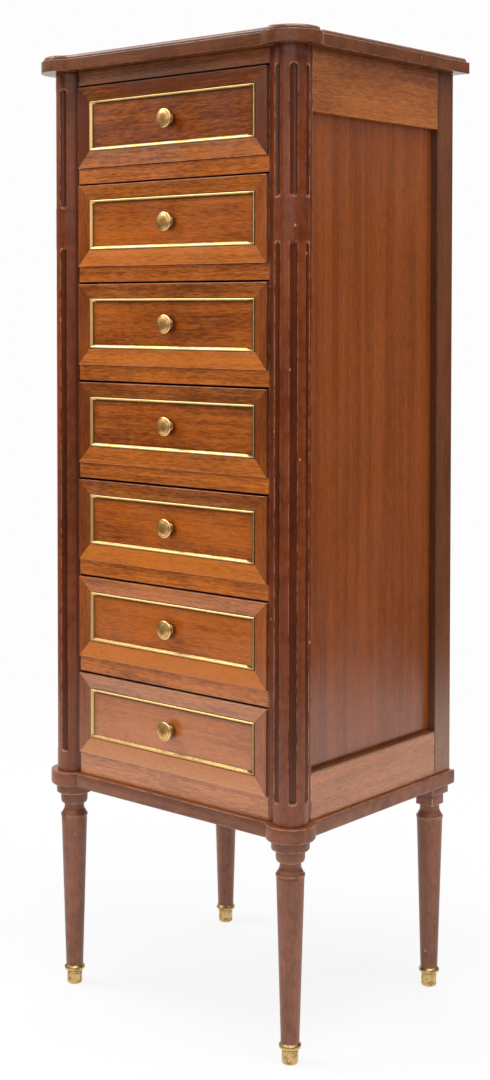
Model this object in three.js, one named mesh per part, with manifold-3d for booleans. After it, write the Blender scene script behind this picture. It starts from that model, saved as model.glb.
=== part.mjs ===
// A semainier: a tall, narrow chest with one drawer for each day of the week.
// Millimetres, +Z up, the front faces -Y and X runs along the front. The origin is on the floor,
// under the middle of the outline.

import * as THREE from "three";
import { mergeVertices } from "three/addons/utils/BufferGeometryUtils.js";
import Module from "manifold-3d";

const wasm = await Module();
wasm.setup();

// Clearances
const FIT = 0.3; // between pieces that are glued, seated or pushed together
const OVERRUN = 2; // how far a cutter runs past the face it opens

// Heights, from the floor up
const LEG_HEIGHT = 276;
const BASE_THICKNESS = 19.6;
const BOTTOM_RAIL_HEIGHT = 29.5;
const DRAWER_COUNT = 7;
const OPENING_HEIGHT = 110;
const DRAWER_RAIL_HEIGHT = 20;
const TOP_RAIL_HEIGHT = 18.9;
const TOP_THICKNESS = 21;

// Plan of the case
const CASE_WIDTH = 407.2;
const CASE_DEPTH = 337.4;
const POST_WIDTH = 39.6;
const OPENING_WIDTH = CASE_WIDTH - 2 * POST_WIDTH;
const FRONT_POST_DEPTH = 34;
const BACK_POST_DEPTH = 36;
const COLUMN_RADIUS = 22.4;
const COLUMN_FRONT_INSET = 12; // from the front plane of the case back to the column's axis
const COLUMN_SIDE_INSET = 14.4; // from the side plane of the case in to the column's axis

// Flutes of the front columns
const FLUTE_RADIUS = 5.6;
const FLUTE_DEPTH = 4;
const FLUTE_SPREAD_ANGLE = THREE.MathUtils.degToRad(57);
const FLUTE_FOOT = 26; // plain column under the lower flutes
const FLUTE_HEAD = 21; // plain column over the upper flutes
const UPPER_FLUTE_LENGTH = 160.5;
const FLUTE_BREAK = 51; // plain band between the upper and lower flutes

// Top board
const TOP_EDGE = 32.5; // from the columns' axes out to the front and side edges
const TOP_BACK_OVERHANG = 12;
const TOP_EAR_RADIUS = 41.8;
const TOP_EAR_ARRIS = 8; // from the column's axis to the sharp edge where the ear begins
const TOP_COVE_LENGTH = 18; // hollow sweep from the straight edge out to that sharp edge
const TOP_FACE_HEIGHT = 15;
const TOP_STEP = 3;
const TOP_STEP_RISE = 0.8;
const TOP_ROUND = 3.6;
const TOP_EASE = 0.7;

// Base board
const BASE_EDGE = 19.6; // from the columns' axes out to the front and side edges
const BASE_BACK_OVERHANG = 4;
const BASE_EAR_RADIUS = 31;
const BASE_ROUND = 4;
const BASE_EASE = 1;

// Side frames
const SIDE_RAIL_THICKNESS = 20;
const SIDE_TOP_RAIL_HEIGHT = 76.5;
const SIDE_BOTTOM_RAIL_HEIGHT = 59;
const PANEL_THICKNESS = 6;
const PANEL_RECESS = 10;
const GROOVE_DEPTH = 8;
const BACK_REBATE = 8;
const BACK_RECESS = 3;
const BACK_THICKNESS = 6;

// Front rails and their joints
const RAIL_DEPTH = 60;
const TENON_LENGTH = 12;
const RAIL_TENON_DEPTH = 24;
const RAIL_TENON_HEIGHT = 12;
const RAIL_TENON_SETBACK = 8;
const SIDE_TENON_THICKNESS = 9;
const SIDE_TENON_SHOULDER = 8;

// Runners
const RUNNER_REACH = 22; // how far a runner stands in from the opening's side
const GUIDE_HEIGHT = 14;
const GUIDE_INSET = 0.5; // how far a guide stands in from the post
const BATTEN_WIDTH = 30;
const STOP_PLACE = 52; // from the opening's side in to the middle of each drawer stop
const STOP_WIDTH = 30;
const STOP_DEPTH = 16;
const STOP_HEIGHT = 6;

// Drawers
const FACE_SIDE_GAP = 0.9;
const FACE_FOOT_GAP = 0.4;
const FACE_HEIGHT = 106.8;
const FACE_THICKNESS = 18;
const FRAME_PROUD = 3.3;
const FRAME_SIDE = 19.5;
const FRAME_HEAD = 18.4;
const FRAME_FOOT = 21.5;
const FRAME_EASE = 0.8;
const FRAME_LAND = 1.8; // flat strip along the frame's outer arris
const FRAME_FALL = 1.4; // how far the frame slopes down from there towards the panel
const FRAME_ROOT = 1; // how deep the mitred frame is glued into the face board
const BOX_SIDE_GAP = 2;
const BOX_HEIGHT = 88;
const BOX_BACK_GAP = 15.1; // free space between the box and the back panel
const BOX_WALL = 10;
const BOX_BACK_DROP = 10;
const BOX_BOTTOM_RAISE = 8;
const BOX_BOTTOM_THICKNESS = 5;

// Brass bead round each drawer's panel
const BEAD_WIDTH = 4.8;
const BEAD_PROUD = 2.8; // over the panel, along the bead's middle
const BEAD_LIP = 0.8; // over the panel, along its two edges
const BEAD_STEPS = 8;

// Brass knobs
const KNOB_RADIUS = 12.2;
const KNOB_REACH = 14.2;
const KNOB_STEM_RADIUS = 2.8;
const KNOB_STEM_LENGTH = 12;
const KNOB_PROFILE_SHARES = [
  [0.62, 0], [0.62, 0.1], [0.4, 0.2], [0.34, 0.42], [0.5, 0.6],
  [0.92, 0.7], [1, 0.79], [0.96, 0.86], [0.78, 0.89], [0.5, 0.97],
];

// Legs, listed from the base board down
const LEG_DOWEL_RADIUS = 9.5;
const DOWEL_FIT = 0.5;
const LEG_DOWEL_LENGTH = 11;
const DISC_RADIUS = 23.7;
const DISC_HEIGHT = 11.8;
const RING_RADIUS = 18.1;
const RING_HEIGHT = 15;
const RING_ROUND = 4;
const NECK_RADIUS = 13.2;
const NECK_HEIGHT = 5;
const FLARE_RADIUS = 18.1;
const FLARE_HEIGHT = 10;
const BEAD_HEIGHT = 3.4;
const LEG_TOP_RADIUS = 17.3;
const LEG_FOOT_RADIUS = 11.5;
const BACK_DISC_SIDE = 36;
const BACK_RING_SIDE = 27;

// Brass shoes at the feet
const SHOE_HEIGHT = 25.8;
const SHOE_COLLAR_RADIUS = 13.9;
const SHOE_FOOT_RADIUS = 10.1;
const SHOE_WALL = 2.6;
const SHOE_FLOOR = 8;
const SHOE_PROFILE_SHARES = [
  [0, 0.9], [0.08, 1], [0.6, 1], [0.67, 1.05], [0.71, 1.02],
];
const COLLAR_PROFILE_SHARES = [
  [0.72, 0.86], [0.78, 0.98], [0.86, 1], [0.93, 0.94], [1, 0.84],
];

// How finely round shapes are cut
const COLUMN_STEPS = 20;
const FLUTE_STEPS = 10;
const EAR_STEPS = 12;
const COVE_STEPS = 4;
const LEG_STEPS = 20;
const SHOE_STEPS = 16;
const KNOB_STEPS = 16;

// Levels and planes that the sizes above give
const baseTop = LEG_HEIGHT + BASE_THICKNESS;
const firstRunner = baseTop + BOTTOM_RAIL_HEIGHT;
const pitch = OPENING_HEIGHT + DRAWER_RAIL_HEIGHT;
const topRailFoot = firstRunner + DRAWER_COUNT * pitch - DRAWER_RAIL_HEIGHT;
const caseTop = topRailFoot + TOP_RAIL_HEIGHT;
const side = CASE_WIDTH / 2;
const opening = OPENING_WIDTH / 2;
const front = -(CASE_DEPTH + TOP_BACK_OVERHANG + COLUMN_FRONT_INSET - TOP_EAR_RADIUS) / 2;
const back = front + CASE_DEPTH;
const columnX = side - COLUMN_SIDE_INSET;
const columnY = front + COLUMN_FRONT_INSET;
const frontPostBack = front + FRONT_POST_DEPTH;
const backPostFront = back - BACK_POST_DEPTH;
const backLegX = (opening + side) / 2;
const backLegY = (backPostFront + back) / 2;
const backPanelFront = back - BACK_RECESS - BACK_THICKNESS;
const panelFace = side - PANEL_RECESS;
const panelBack = panelFace - PANEL_THICKNESS;
const sideRailBack = side - SIDE_RAIL_THICKNESS;
const sidePanelFoot = baseTop + SIDE_BOTTOM_RAIL_HEIGHT;
const sidePanelHead = caseTop - SIDE_TOP_RAIL_HEIGHT;

const finish = (roughness, metalness) => (name, color) =>
  new THREE.MeshStandardMaterial({ name, color, roughness, metalness });
const wood = finish(0.42, 0);
const brass = finish(0.35, 1);
const darkMahogany = wood("dark_mahogany", "#5a2f1c");
const mahogany = wood("mahogany", "#8a4a26");
const panelMahogany = wood("panel_mahogany", "#7a3d22");
const legMahogany = wood("leg_mahogany", "#704636");
const innerWood = wood("inner_wood", "#b58f63");
const beadBrass = brass("bead_brass", "#c9a24e");
const knobBrass = brass("knob_brass", "#a98a4c");

// Turns a closed geometry into a solid that can be joined and cut.
function solidOf(geometry) {
  const plain = geometry.index ? geometry.toNonIndexed() : geometry.clone();
  plain.deleteAttribute("normal");
  plain.deleteAttribute("uv");
  const merged = mergeVertices(plain);
  const corners = merged.index.array;
  const kept = [];
  for (let i = 0; i < corners.length; i += 3) {
    const [a, b, c] = [corners[i], corners[i + 1], corners[i + 2]];
    if (a !== b && b !== c && c !== a) {
      kept.push(a, b, c);
    }
  }
  const vertProperties = new Float32Array(merged.attributes.position.array);
  return new wasm.Manifold(new wasm.Mesh({ numProp: 3, vertProperties, triVerts: Uint32Array.from(kept) }));
}

function joined(solids) {
  return solids.reduce((sum, piece) => sum.add(piece));
}

function cut(solid, cutters) {
  return cutters.reduce((rest, cutter) => rest.subtract(cutter), solid);
}

function geometryOf(solid) {
  const mesh = solid.getMesh();
  const geometry = new THREE.BufferGeometry();
  const positions = new Float32Array(mesh.vertProperties);
  geometry.setAttribute("position", new THREE.BufferAttribute(positions, mesh.numProp));
  geometry.setIndex(new THREE.BufferAttribute(new Uint32Array(mesh.triVerts), 1));
  const loose = geometry.toNonIndexed();
  loose.computeVertexNormals();
  return loose;
}

// A rectangular block between two corners.
function block([x0, x1], [y0, y1], [z0, z1]) {
  const geometry = new THREE.BoxGeometry(Math.abs(x1 - x0), Math.abs(y1 - y0), Math.abs(z1 - z0));
  geometry.translate((x0 + x1) / 2, (y0 + y1) / 2, (z0 + z1) / 2);
  return solidOf(geometry);
}

// A solid turned about the vertical axis through (x, y), from [radius, height] points that run upwards.
function turned(points, steps, x = 0, y = 0) {
  const profile = points.map(([radius, height]) => new THREE.Vector2(radius, height));
  const geometry = new THREE.LatheGeometry(profile, steps);
  geometry.rotateX(Math.PI / 2);
  geometry.translate(x, y, 0);
  return solidOf(geometry);
}

// A solid skinned over outlines that have equal counts of points. The outlines follow each other from
// one end face to the other, or in a closed ring.
function skinned(outlines, ring) {
  const count = outlines[0].length;
  const positions = [];
  const quad = (a, b, c, d) => positions.push(...a, ...b, ...c, ...a, ...c, ...d);
  const spans = ring ? outlines.length : outlines.length - 1;
  for (let i = 0; i < spans; i += 1) {
    const lower = outlines[i];
    const upper = outlines[(i + 1) % outlines.length];
    for (let j = 0; j < count; j += 1) {
      const k = (j + 1) % count;
      quad(lower[j], lower[k], upper[k], upper[j]);
    }
  }
  if (!ring) {
    const last = outlines.length - 1;
    const flat = outlines[0].map(([x, y]) => new THREE.Vector2(x, y));
    for (const [a, b, c] of THREE.ShapeUtils.triangulateShape(flat, [])) {
      positions.push(...outlines[0][a], ...outlines[0][c], ...outlines[0][b]);
      positions.push(...outlines[last][a], ...outlines[last][b], ...outlines[last][c]);
    }
  }
  const geometry = new THREE.BufferGeometry();
  geometry.setAttribute("position", new THREE.BufferAttribute(new Float32Array(positions), 3));
  return solidOf(geometry);
}

function prism(outline, z0, z1) {
  return skinned([outline.map(([x, y]) => [x, y, z0]), outline.map(([x, y]) => [x, y, z1])], false);
}

function arc(x, y, radius, from, to, steps) {
  const points = [];
  for (let i = 0; i <= steps; i += 1) {
    const angle = from + ((to - from) * i) / steps;
    points.push([x + radius * Math.cos(angle), y + radius * Math.sin(angle)]);
  }
  return points;
}

// Outline of a board with a round ear over each front column, counter-clockwise from the back left
// corner. The straight edges stand `edge` from the columns' axes. A hollow arc, whose centre and radius
// `cove` gives as seen from the column's axis, leads from each straight edge to the ear.
function earedOutline({ radius, edge, cove, backEdge }, inset) {
  const spread = Math.hypot(cove.x, cove.y);
  const ear = radius - inset;
  const hollow = cove.radius + inset;
  const along = (spread * spread + ear * ear - hollow * hollow) / (2 * spread);
  const away = Math.sqrt(Math.max(ear * ear - along * along, 0));
  const meetX = (along * cove.x - away * cove.y) / spread;
  const meetY = (along * cove.y + away * cove.x) / spread;
  const earStart = Math.atan2(-meetY, -meetX);
  const earEnd = Math.atan2(meetX, meetY);
  const coveTurn = Math.atan2(cove.y - meetY, cove.x - meetX);
  const leftCove = arc(-cove.x, -cove.y, hollow, Math.PI / 2, coveTurn, COVE_STEPS);
  const earArc = arc(0, 0, ear, earStart, earEnd, EAR_STEPS).slice(1, -1);
  const rightCove = leftCove.map(([x, y]) => [-y, -x]).reverse();
  const corner = [...leftCove, ...earArc, ...rightCove];
  const right = corner.map(([x, y]) => [columnX + x, columnY + y]);
  const left = right.map(([x, y]) => [-x, y]).reverse();
  const half = columnX + edge - inset;
  return [[-half, backEdge - inset], ...left, ...right, [half, backEdge - inset]];
}

// A board built up from eared outlines: each layer is [inset, height].
function earedBoard(plan, layers) {
  return skinned(layers.map(([inset, z]) => earedOutline(plan, inset).map(([x, y]) => [x, y, z])), false);
}

function topBoard() {
  const coveDepth = Math.sqrt(TOP_EAR_RADIUS ** 2 - TOP_EAR_ARRIS ** 2) - TOP_EDGE;
  const coveRadius = (TOP_COVE_LENGTH ** 2 + coveDepth ** 2) / (2 * coveDepth);
  const plan = {
    radius: TOP_EAR_RADIUS,
    edge: TOP_EDGE,
    cove: { x: TOP_EAR_ARRIS + TOP_COVE_LENGTH, y: TOP_EDGE + coveRadius, radius: coveRadius },
    backEdge: back + TOP_BACK_OVERHANG,
  };
  const stepTop = TOP_FACE_HEIGHT + TOP_STEP_RISE;
  const roundHeight = TOP_THICKNESS - stepTop;
  const layers = [
    [TOP_EASE, caseTop],
    [0, caseTop + TOP_EASE],
    [0, caseTop + TOP_FACE_HEIGHT - TOP_EASE],
    [TOP_EASE, caseTop + TOP_FACE_HEIGHT],
    [TOP_STEP, caseTop + stepTop],
  ];
  const turns = 3;
  for (let i = 1; i <= turns; i += 1) {
    const angle = (i / turns) * (Math.PI / 2);
    const inset = TOP_STEP + TOP_ROUND * (1 - Math.cos(angle));
    layers.push([inset, caseTop + stepTop + roundHeight * Math.sin(angle)]);
  }
  return earedBoard(plan, layers);
}

function baseBoard() {
  const plan = {
    radius: BASE_EAR_RADIUS,
    edge: BASE_EDGE,
    cove: { x: Math.sqrt(BASE_EAR_RADIUS ** 2 - BASE_EDGE ** 2), y: BASE_EDGE, radius: 0 },
    backEdge: back + BASE_BACK_OVERHANG,
  };
  const layers = [
    [BASE_ROUND, LEG_HEIGHT],
    [BASE_ROUND * (1 - Math.SQRT1_2), LEG_HEIGHT + BASE_ROUND * (1 - Math.SQRT1_2)],
    [0, LEG_HEIGHT + BASE_ROUND],
    [0, baseTop - BASE_EASE],
    [BASE_EASE, baseTop],
  ];
  const dowelHoles = legPlaces.map(([x, y]) =>
    turned(
      [
        [0, LEG_HEIGHT - OVERRUN],
        [LEG_DOWEL_RADIUS + DOWEL_FIT, LEG_HEIGHT - OVERRUN],
        [LEG_DOWEL_RADIUS + DOWEL_FIT, LEG_HEIGHT + LEG_DOWEL_LENGTH + FIT],
        [0, LEG_HEIGHT + LEG_DOWEL_LENGTH + FIT],
      ],
      LEG_STEPS,
      x,
      y,
    ),
  );
  return cut(earedBoard(plan, layers), dowelHoles);
}

// A square post whose outer corner is a round column that stands out from the front and side planes.
function frontPost(hand) {
  const z0 = baseTop + FIT;
  const z1 = caseTop - FIT;
  const start = Math.atan2(-COLUMN_FRONT_INSET, -Math.sqrt(COLUMN_RADIUS ** 2 - COLUMN_FRONT_INSET ** 2));
  const end = Math.atan2(Math.sqrt(COLUMN_RADIUS ** 2 - COLUMN_SIDE_INSET ** 2), COLUMN_SIDE_INSET);
  const outline = [
    [opening, front],
    ...arc(columnX, columnY, COLUMN_RADIUS, start, end, COLUMN_STEPS),
    [side, frontPostBack],
    [opening, frontPostBack],
  ];
  const mortises = [...frontRailMortises(), ...sideRailMortises(frontPostBack, -1)];
  return mirrored(cut(prism(outline, z0, z1), [...flutes(), ...mortises, sidePanelSlot()]), hand);
}

function flutes() {
  const upperHead = caseTop - FLUTE_HEAD;
  const upperFoot = upperHead - UPPER_FLUTE_LENGTH;
  const zones = [
    [baseTop + FLUTE_FOOT, upperFoot - FLUTE_BREAK],
    [upperFoot, upperHead],
  ];
  const reach = COLUMN_RADIUS + FLUTE_RADIUS - FLUTE_DEPTH;
  const places = [-1, 0, 1].map((n) => Math.PI / 4 + n * FLUTE_SPREAD_ANGLE);
  return zones.flatMap(([z0, z1]) =>
    places.map((angle) =>
      capsule(columnX + reach * Math.sin(angle), columnY - reach * Math.cos(angle), FLUTE_RADIUS, z0, z1),
    ),
  );
}

// A round-ended cylinder that stands upright, the shape of a gouged flute.
function capsule(x, y, radius, z0, z1) {
  const ends = 3;
  const points = [];
  for (let i = 0; i <= ends; i += 1) {
    const angle = (i / ends - 1) * (Math.PI / 2);
    points.push([radius * Math.cos(angle), z0 + radius + radius * Math.sin(angle)]);
  }
  for (let i = 0; i <= ends; i += 1) {
    const angle = (i / ends) * (Math.PI / 2);
    points.push([radius * Math.cos(angle), z1 - radius + radius * Math.sin(angle)]);
  }
  points[0][0] = 0;
  points[points.length - 1][0] = 0;
  return turned(points, FLUTE_STEPS, x, y);
}

// Levels [foot, head] of the front rails: the bottom rail, the rails between drawers and the top rail.
function railLevels() {
  const levels = [[baseTop + FIT, firstRunner]];
  for (let i = 1; i < DRAWER_COUNT; i += 1) {
    const head = firstRunner + i * pitch;
    levels.push([head - DRAWER_RAIL_HEIGHT, head]);
  }
  levels.push([topRailFoot, caseTop - FIT]);
  return levels;
}

function railTenon([foot, head], slack) {
  const middle = (foot + head) / 2;
  const half = RAIL_TENON_HEIGHT / 2 + slack;
  const y0 = front + RAIL_TENON_SETBACK - slack;
  const y1 = front + RAIL_TENON_SETBACK + RAIL_TENON_DEPTH + slack;
  return { y: [y0, y1], z: [middle - half, middle + half] };
}

function frontRailMortises() {
  return railLevels().map((level) => {
    const { y, z } = railTenon(level, FIT);
    return block([opening - OVERRUN, opening + TENON_LENGTH + FIT], y, z);
  });
}

function frontRail(level) {
  const bar = block([-opening + FIT, opening - FIT], [front, front + RAIL_DEPTH], level);
  const { y, z } = railTenon(level, 0);
  return bar.add(block([-opening - TENON_LENGTH, opening + TENON_LENGTH], y, z));
}

// A rail under a drawer, with the two blocks that the drawer's face board closes against.
function runningRail(level) {
  const stopFront = front + FACE_THICKNESS + FIT;
  const stops = [STOP_PLACE - opening, opening - STOP_PLACE].map((x) =>
    block(
      [x - STOP_WIDTH / 2, x + STOP_WIDTH / 2],
      [stopFront, stopFront + STOP_DEPTH],
      [level[1] - STOP_HEIGHT, level[1] + STOP_HEIGHT],
    ),
  );
  return joined([frontRail(level), ...stops]);
}

const sideRailLevels = {
  top: [sidePanelHead, caseTop - FIT],
  bottom: [baseTop + FIT, sidePanelFoot],
};

function sideTenon([foot, head], slack) {
  const x0 = sideRailBack + (SIDE_RAIL_THICKNESS - SIDE_TENON_THICKNESS) / 2 - slack;
  return {
    x: [x0, x0 + SIDE_TENON_THICKNESS + 2 * slack],
    z: [foot + SIDE_TENON_SHOULDER - slack, head - SIDE_TENON_SHOULDER + slack],
  };
}

// Mortises that open on the post face at y, where `into` points from the face into the post.
function sideRailMortises(y, into) {
  return Object.values(sideRailLevels).map((level) => {
    const tenon = sideTenon(level, FIT);
    const ends = [y - into * OVERRUN, y + into * (TENON_LENGTH + FIT)].sort((a, b) => a - b);
    return block(tenon.x, ends, tenon.z);
  });
}

// The groove that holds the side panel, running round the whole panel.
function sidePanelSlot() {
  return block(
    [panelBack - FIT, panelFace + FIT],
    [frontPostBack - GROOVE_DEPTH, backPostFront + GROOVE_DEPTH],
    [sidePanelFoot - GROOVE_DEPTH, sidePanelHead + GROOVE_DEPTH],
  );
}

function sidePanel(hand) {
  const hold = GROOVE_DEPTH - FIT;
  const panel = block(
    [panelBack, panelFace],
    [frontPostBack - hold, backPostFront + hold],
    [sidePanelFoot - hold, sidePanelHead + hold],
  );
  return mirrored(panel, hand);
}

function sideRail(level, hand) {
  const tenon = sideTenon(level, 0);
  const bar = block([sideRailBack, side], [frontPostBack + FIT, backPostFront - FIT], level);
  const tongue = block(tenon.x, [frontPostBack - TENON_LENGTH, backPostFront + TENON_LENGTH], tenon.z);
  return mirrored(cut(bar.add(tongue), [sidePanelSlot()]), hand);
}

function backPost(hand) {
  const post = block([opening, side], [backPostFront, back], [baseTop + FIT, caseTop - FIT]);
  const rebate = block(
    [opening - OVERRUN, opening + BACK_REBATE + FIT],
    [backPanelFront - FIT, back + OVERRUN],
    [baseTop - OVERRUN, caseTop + OVERRUN],
  );
  return mirrored(cut(post, [rebate, ...sideRailMortises(backPostFront, 1), sidePanelSlot()]), hand);
}

function backPanel() {
  const half = opening + BACK_REBATE;
  const faces = [backPanelFront, back - BACK_RECESS];
  return block([-half, half], faces, [baseTop + FIT, caseTop - FIT]);
}

function mirrored(solid, hand) {
  return hand < 0 ? solid.mirror([1, 0, 0]) : solid;
}

// Seven runners with their guides, and a kicker over the top drawer, held by two upright battens.
function runnerFrame(hand) {
  const inner = opening - RUNNER_REACH;
  const outer = sideRailBack - FIT;
  const guide = opening - GUIDE_INSET;
  const reach = [frontPostBack + FIT, backPostFront - FIT];
  const strip = [front + RAIL_DEPTH + FIT, backPostFront - FIT];
  const level = [baseTop + FIT, caseTop - FIT];
  const pieces = [
    block([opening, outer], [reach[0], reach[0] + BATTEN_WIDTH], level),
    block([opening, outer], [reach[1] - BATTEN_WIDTH, reach[1]], level),
  ];
  for (let i = 0; i <= DRAWER_COUNT; i += 1) {
    const head = Math.min(firstRunner + i * pitch, caseTop - FIT);
    const foot = firstRunner + i * pitch - DRAWER_RAIL_HEIGHT;
    pieces.push(block([inner, outer], strip, [foot, head]));
    if (i < DRAWER_COUNT) {
      pieces.push(block([guide, outer], strip, [foot, head + GUIDE_HEIGHT]));
    }
  }
  return mirrored(joined(pieces), hand);
}

// Leg
const legPlaces = [
  [-columnX, columnY],
  [columnX, columnY],
  [-backLegX, backLegY],
  [backLegX, backLegY],
];

function legSolid([x, y], square) {
  const head = LEG_HEIGHT - FIT;
  const disc = head - DISC_HEIGHT;
  const ring = disc - RING_HEIGHT;
  const neck = ring - NECK_HEIGHT;
  const flare = neck - FLARE_HEIGHT;
  const shaft = flare - BEAD_HEIGHT;
  const foot = SHOE_HEIGHT + FIT;
  const spigot = SHOE_FOOT_RADIUS - SHOE_WALL - FIT;
  const lower = [
    [0, SHOE_FLOOR + FIT],
    [spigot, SHOE_FLOOR + FIT],
    [spigot, foot],
    [LEG_FOOT_RADIUS, foot],
    [LEG_TOP_RADIUS, shaft],
    [FLARE_RADIUS, shaft + BEAD_HEIGHT / 3],
    [FLARE_RADIUS, flare],
    [(FLARE_RADIUS + NECK_RADIUS) / 2, flare + FLARE_HEIGHT / 3],
    [NECK_RADIUS, neck],
    [NECK_RADIUS, ring],
  ];
  const roundHead = [
    [RING_RADIUS - RING_ROUND * (1 - Math.SQRT1_2), ring + RING_ROUND * (1 - Math.SQRT1_2)],
    [RING_RADIUS, ring + RING_ROUND],
    [RING_RADIUS, disc],
    [DISC_RADIUS, disc],
    [DISC_RADIUS, head],
  ];
  const dowel = [
    [LEG_DOWEL_RADIUS, head],
    [LEG_DOWEL_RADIUS, LEG_HEIGHT + LEG_DOWEL_LENGTH],
    [0, LEG_HEIGHT + LEG_DOWEL_LENGTH],
  ];
  if (!square) {
    return turned([...lower, ...roundHead, ...dowel], LEG_STEPS, x, y);
  }
  const pin = [[LEG_DOWEL_RADIUS, ring], ...dowel.slice(1)];
  const ringHalf = BACK_RING_SIDE / 2;
  const discHalf = BACK_DISC_SIDE / 2;
  return joined([
    turned([...lower, ...pin], LEG_STEPS, x, y),
    block([x - ringHalf, x + ringHalf], [y - ringHalf, y + ringHalf], [ring, disc]),
    block([x - discHalf, x + discHalf], [y - discHalf, y + discHalf], [disc, head]),
  ]);
}

function shoe([x, y]) {
  const bore = SHOE_FOOT_RADIUS - SHOE_WALL;
  const footPoints = SHOE_PROFILE_SHARES.map(([h, r]) => [SHOE_FOOT_RADIUS * r, SHOE_HEIGHT * h]);
  const collarPoints = COLLAR_PROFILE_SHARES.map(([h, r]) => [SHOE_COLLAR_RADIUS * r, SHOE_HEIGHT * h]);
  return turned(
    [[0, 0], ...footPoints, ...collarPoints, [bore, SHOE_HEIGHT], [bore, SHOE_FLOOR], [0, SHOE_FLOOR]],
    SHOE_STEPS,
    x,
    y,
  );
}

// Drawers
const faceHalf = opening - FACE_SIDE_GAP;

function faceLevels(level) {
  const foot = level + FACE_FOOT_GAP;
  return { foot, head: foot + FACE_HEIGHT };
}

// A rectangular ring in the drawer's face. Each section point is [inset from the outer edge, depth in y].
function faceRing({ half, foot, head }, section) {
  const rings = section.map(([inset, y]) => [
    [-half + inset, y, foot + inset],
    [half - inset, y, foot + inset],
    [half - inset, y, head - inset],
    [-half + inset, y, head - inset],
  ]);
  return skinned(rings, true);
}

// The same rectangle at each of two heights, lying flat.
function plate({ half, foot, head }, heights) {
  return heights.map((z) => [
    [-half, foot, z],
    [half, foot, z],
    [half, head, z],
    [-half, head, z],
  ]);
}

function panelEdges(level) {
  const { foot, head } = faceLevels(level);
  return { half: faceHalf - FRAME_SIDE, foot: foot + FRAME_FOOT, head: head - FRAME_HEAD };
}

function knobHeight(level) {
  const { foot, head } = panelEdges(level);
  return (foot + head) / 2;
}

function drawerFront(level) {
  const { foot, head } = faceLevels(level);
  const board = block([-faceHalf, faceHalf], [front, front + FACE_THICKNESS], [foot, head]);
  const proud = front - FRAME_PROUD;
  const mitred = block([-faceHalf, faceHalf], [proud, front + FRAME_ROOT], [foot, head]);
  const panel = panelEdges(level);
  const land = { half: faceHalf - FRAME_LAND, foot: foot + FRAME_LAND, head: head - FRAME_LAND };
  const well = skinned(
    [
      ...plate(panel, [0, FRAME_PROUD - FRAME_FALL]),
      ...plate(land, [FRAME_PROUD, FRAME_PROUD + OVERRUN]),
    ],
    false,
  )
    .rotate([90, 0, 0])
    .translate([0, front, 0]);
  const easing = faceRing({ half: faceHalf, foot, head }, [
    [-OVERRUN, proud + FRAME_EASE + OVERRUN],
    [-OVERRUN, proud - OVERRUN],
    [FRAME_EASE + OVERRUN, proud - OVERRUN],
  ]);
  const stemHole = turned(
    [
      [0, -OVERRUN],
      [KNOB_STEM_RADIUS + FIT, -OVERRUN],
      [KNOB_STEM_RADIUS + FIT, KNOB_STEM_LENGTH + FIT],
      [0, KNOB_STEM_LENGTH + FIT],
    ],
    KNOB_STEPS,
  )
    .rotate([-90, 0, 0])
    .translate([0, front, knobHeight(level)]);
  return cut(board.add(mitred), [well, easing, stemHole]);
}

function drawerBox(level) {
  const half = opening - BOX_SIDE_GAP;
  const y0 = front + FACE_THICKNESS + FIT;
  const y1 = backPanelFront - BOX_BACK_GAP;
  const z0 = level + FIT;
  const z1 = z0 + BOX_HEIGHT;
  const floor = z0 + BOX_BOTTOM_RAISE;
  const overlap = BOX_WALL / 2;
  return joined([
    block([-half, -half + BOX_WALL], [y0, y1], [z0, z1]),
    block([half - BOX_WALL, half], [y0, y1], [z0, z1]),
    block([-half + overlap, half - overlap], [y1 - BOX_WALL, y1], [floor, z1 - BOX_BACK_DROP]),
    block([-half + overlap, half - overlap], [y0, y1 - overlap], [floor, floor + BOX_BOTTOM_THICKNESS]),
  ]);
}

function drawerTrim(level) {
  const { half, foot, head } = panelEdges(level);
  const seat = front - FIT;
  // The round over the lips is half of an ellipse.
  const round = Array.from({ length: BEAD_STEPS + 1 }, (_, i) => {
    const turn = (Math.PI * i) / BEAD_STEPS;
    const rise = BEAD_LIP + (BEAD_PROUD - BEAD_LIP) * Math.sin(turn);
    return [(BEAD_WIDTH / 2) * (1 - Math.cos(turn)), front - rise];
  });
  return faceRing({ half: half - FIT, foot: foot + FIT, head: head - FIT }, [
    [0, seat],
    ...round,
    [BEAD_WIDTH, seat],
  ]);
}

function drawerKnob(level) {
  const neckAndFace = KNOB_PROFILE_SHARES.map(([r, h]) => [KNOB_RADIUS * r, FIT + KNOB_REACH * h]);
  const points = [
    [0, -KNOB_STEM_LENGTH],
    [KNOB_STEM_RADIUS, -KNOB_STEM_LENGTH],
    [KNOB_STEM_RADIUS, FIT],
    ...neckAndFace,
    [0, FIT + KNOB_REACH],
  ];
  return turned(points, KNOB_STEPS)
    .rotate([90, 0, 0])
    .translate([0, front, knobHeight(level)]);
}

// Assembly
const semainier = new THREE.Group();

function addPiece(name, solid, material) {
  const mesh = new THREE.Mesh(geometryOf(solid), material);
  mesh.name = name;
  semainier.add(mesh);
}

addPiece("top_board", topBoard(), darkMahogany);
addPiece("base_board", baseBoard(), legMahogany);
addPiece("back_panel", backPanel(), innerWood);

const hands = { left: -1, right: 1 };
for (const [word, hand] of Object.entries(hands)) {
  addPiece(`post_front_${word}`, frontPost(hand), darkMahogany);
  addPiece(`post_back_${word}`, backPost(hand), darkMahogany);
  addPiece(`side_panel_${word}`, sidePanel(hand), panelMahogany);
  addPiece(`side_rail_top_${word}`, sideRail(sideRailLevels.top, hand), mahogany);
  addPiece(`side_rail_bottom_${word}`, sideRail(sideRailLevels.bottom, hand), mahogany);
  addPiece(`runner_frame_${word}`, runnerFrame(hand), innerWood);
}

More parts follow.
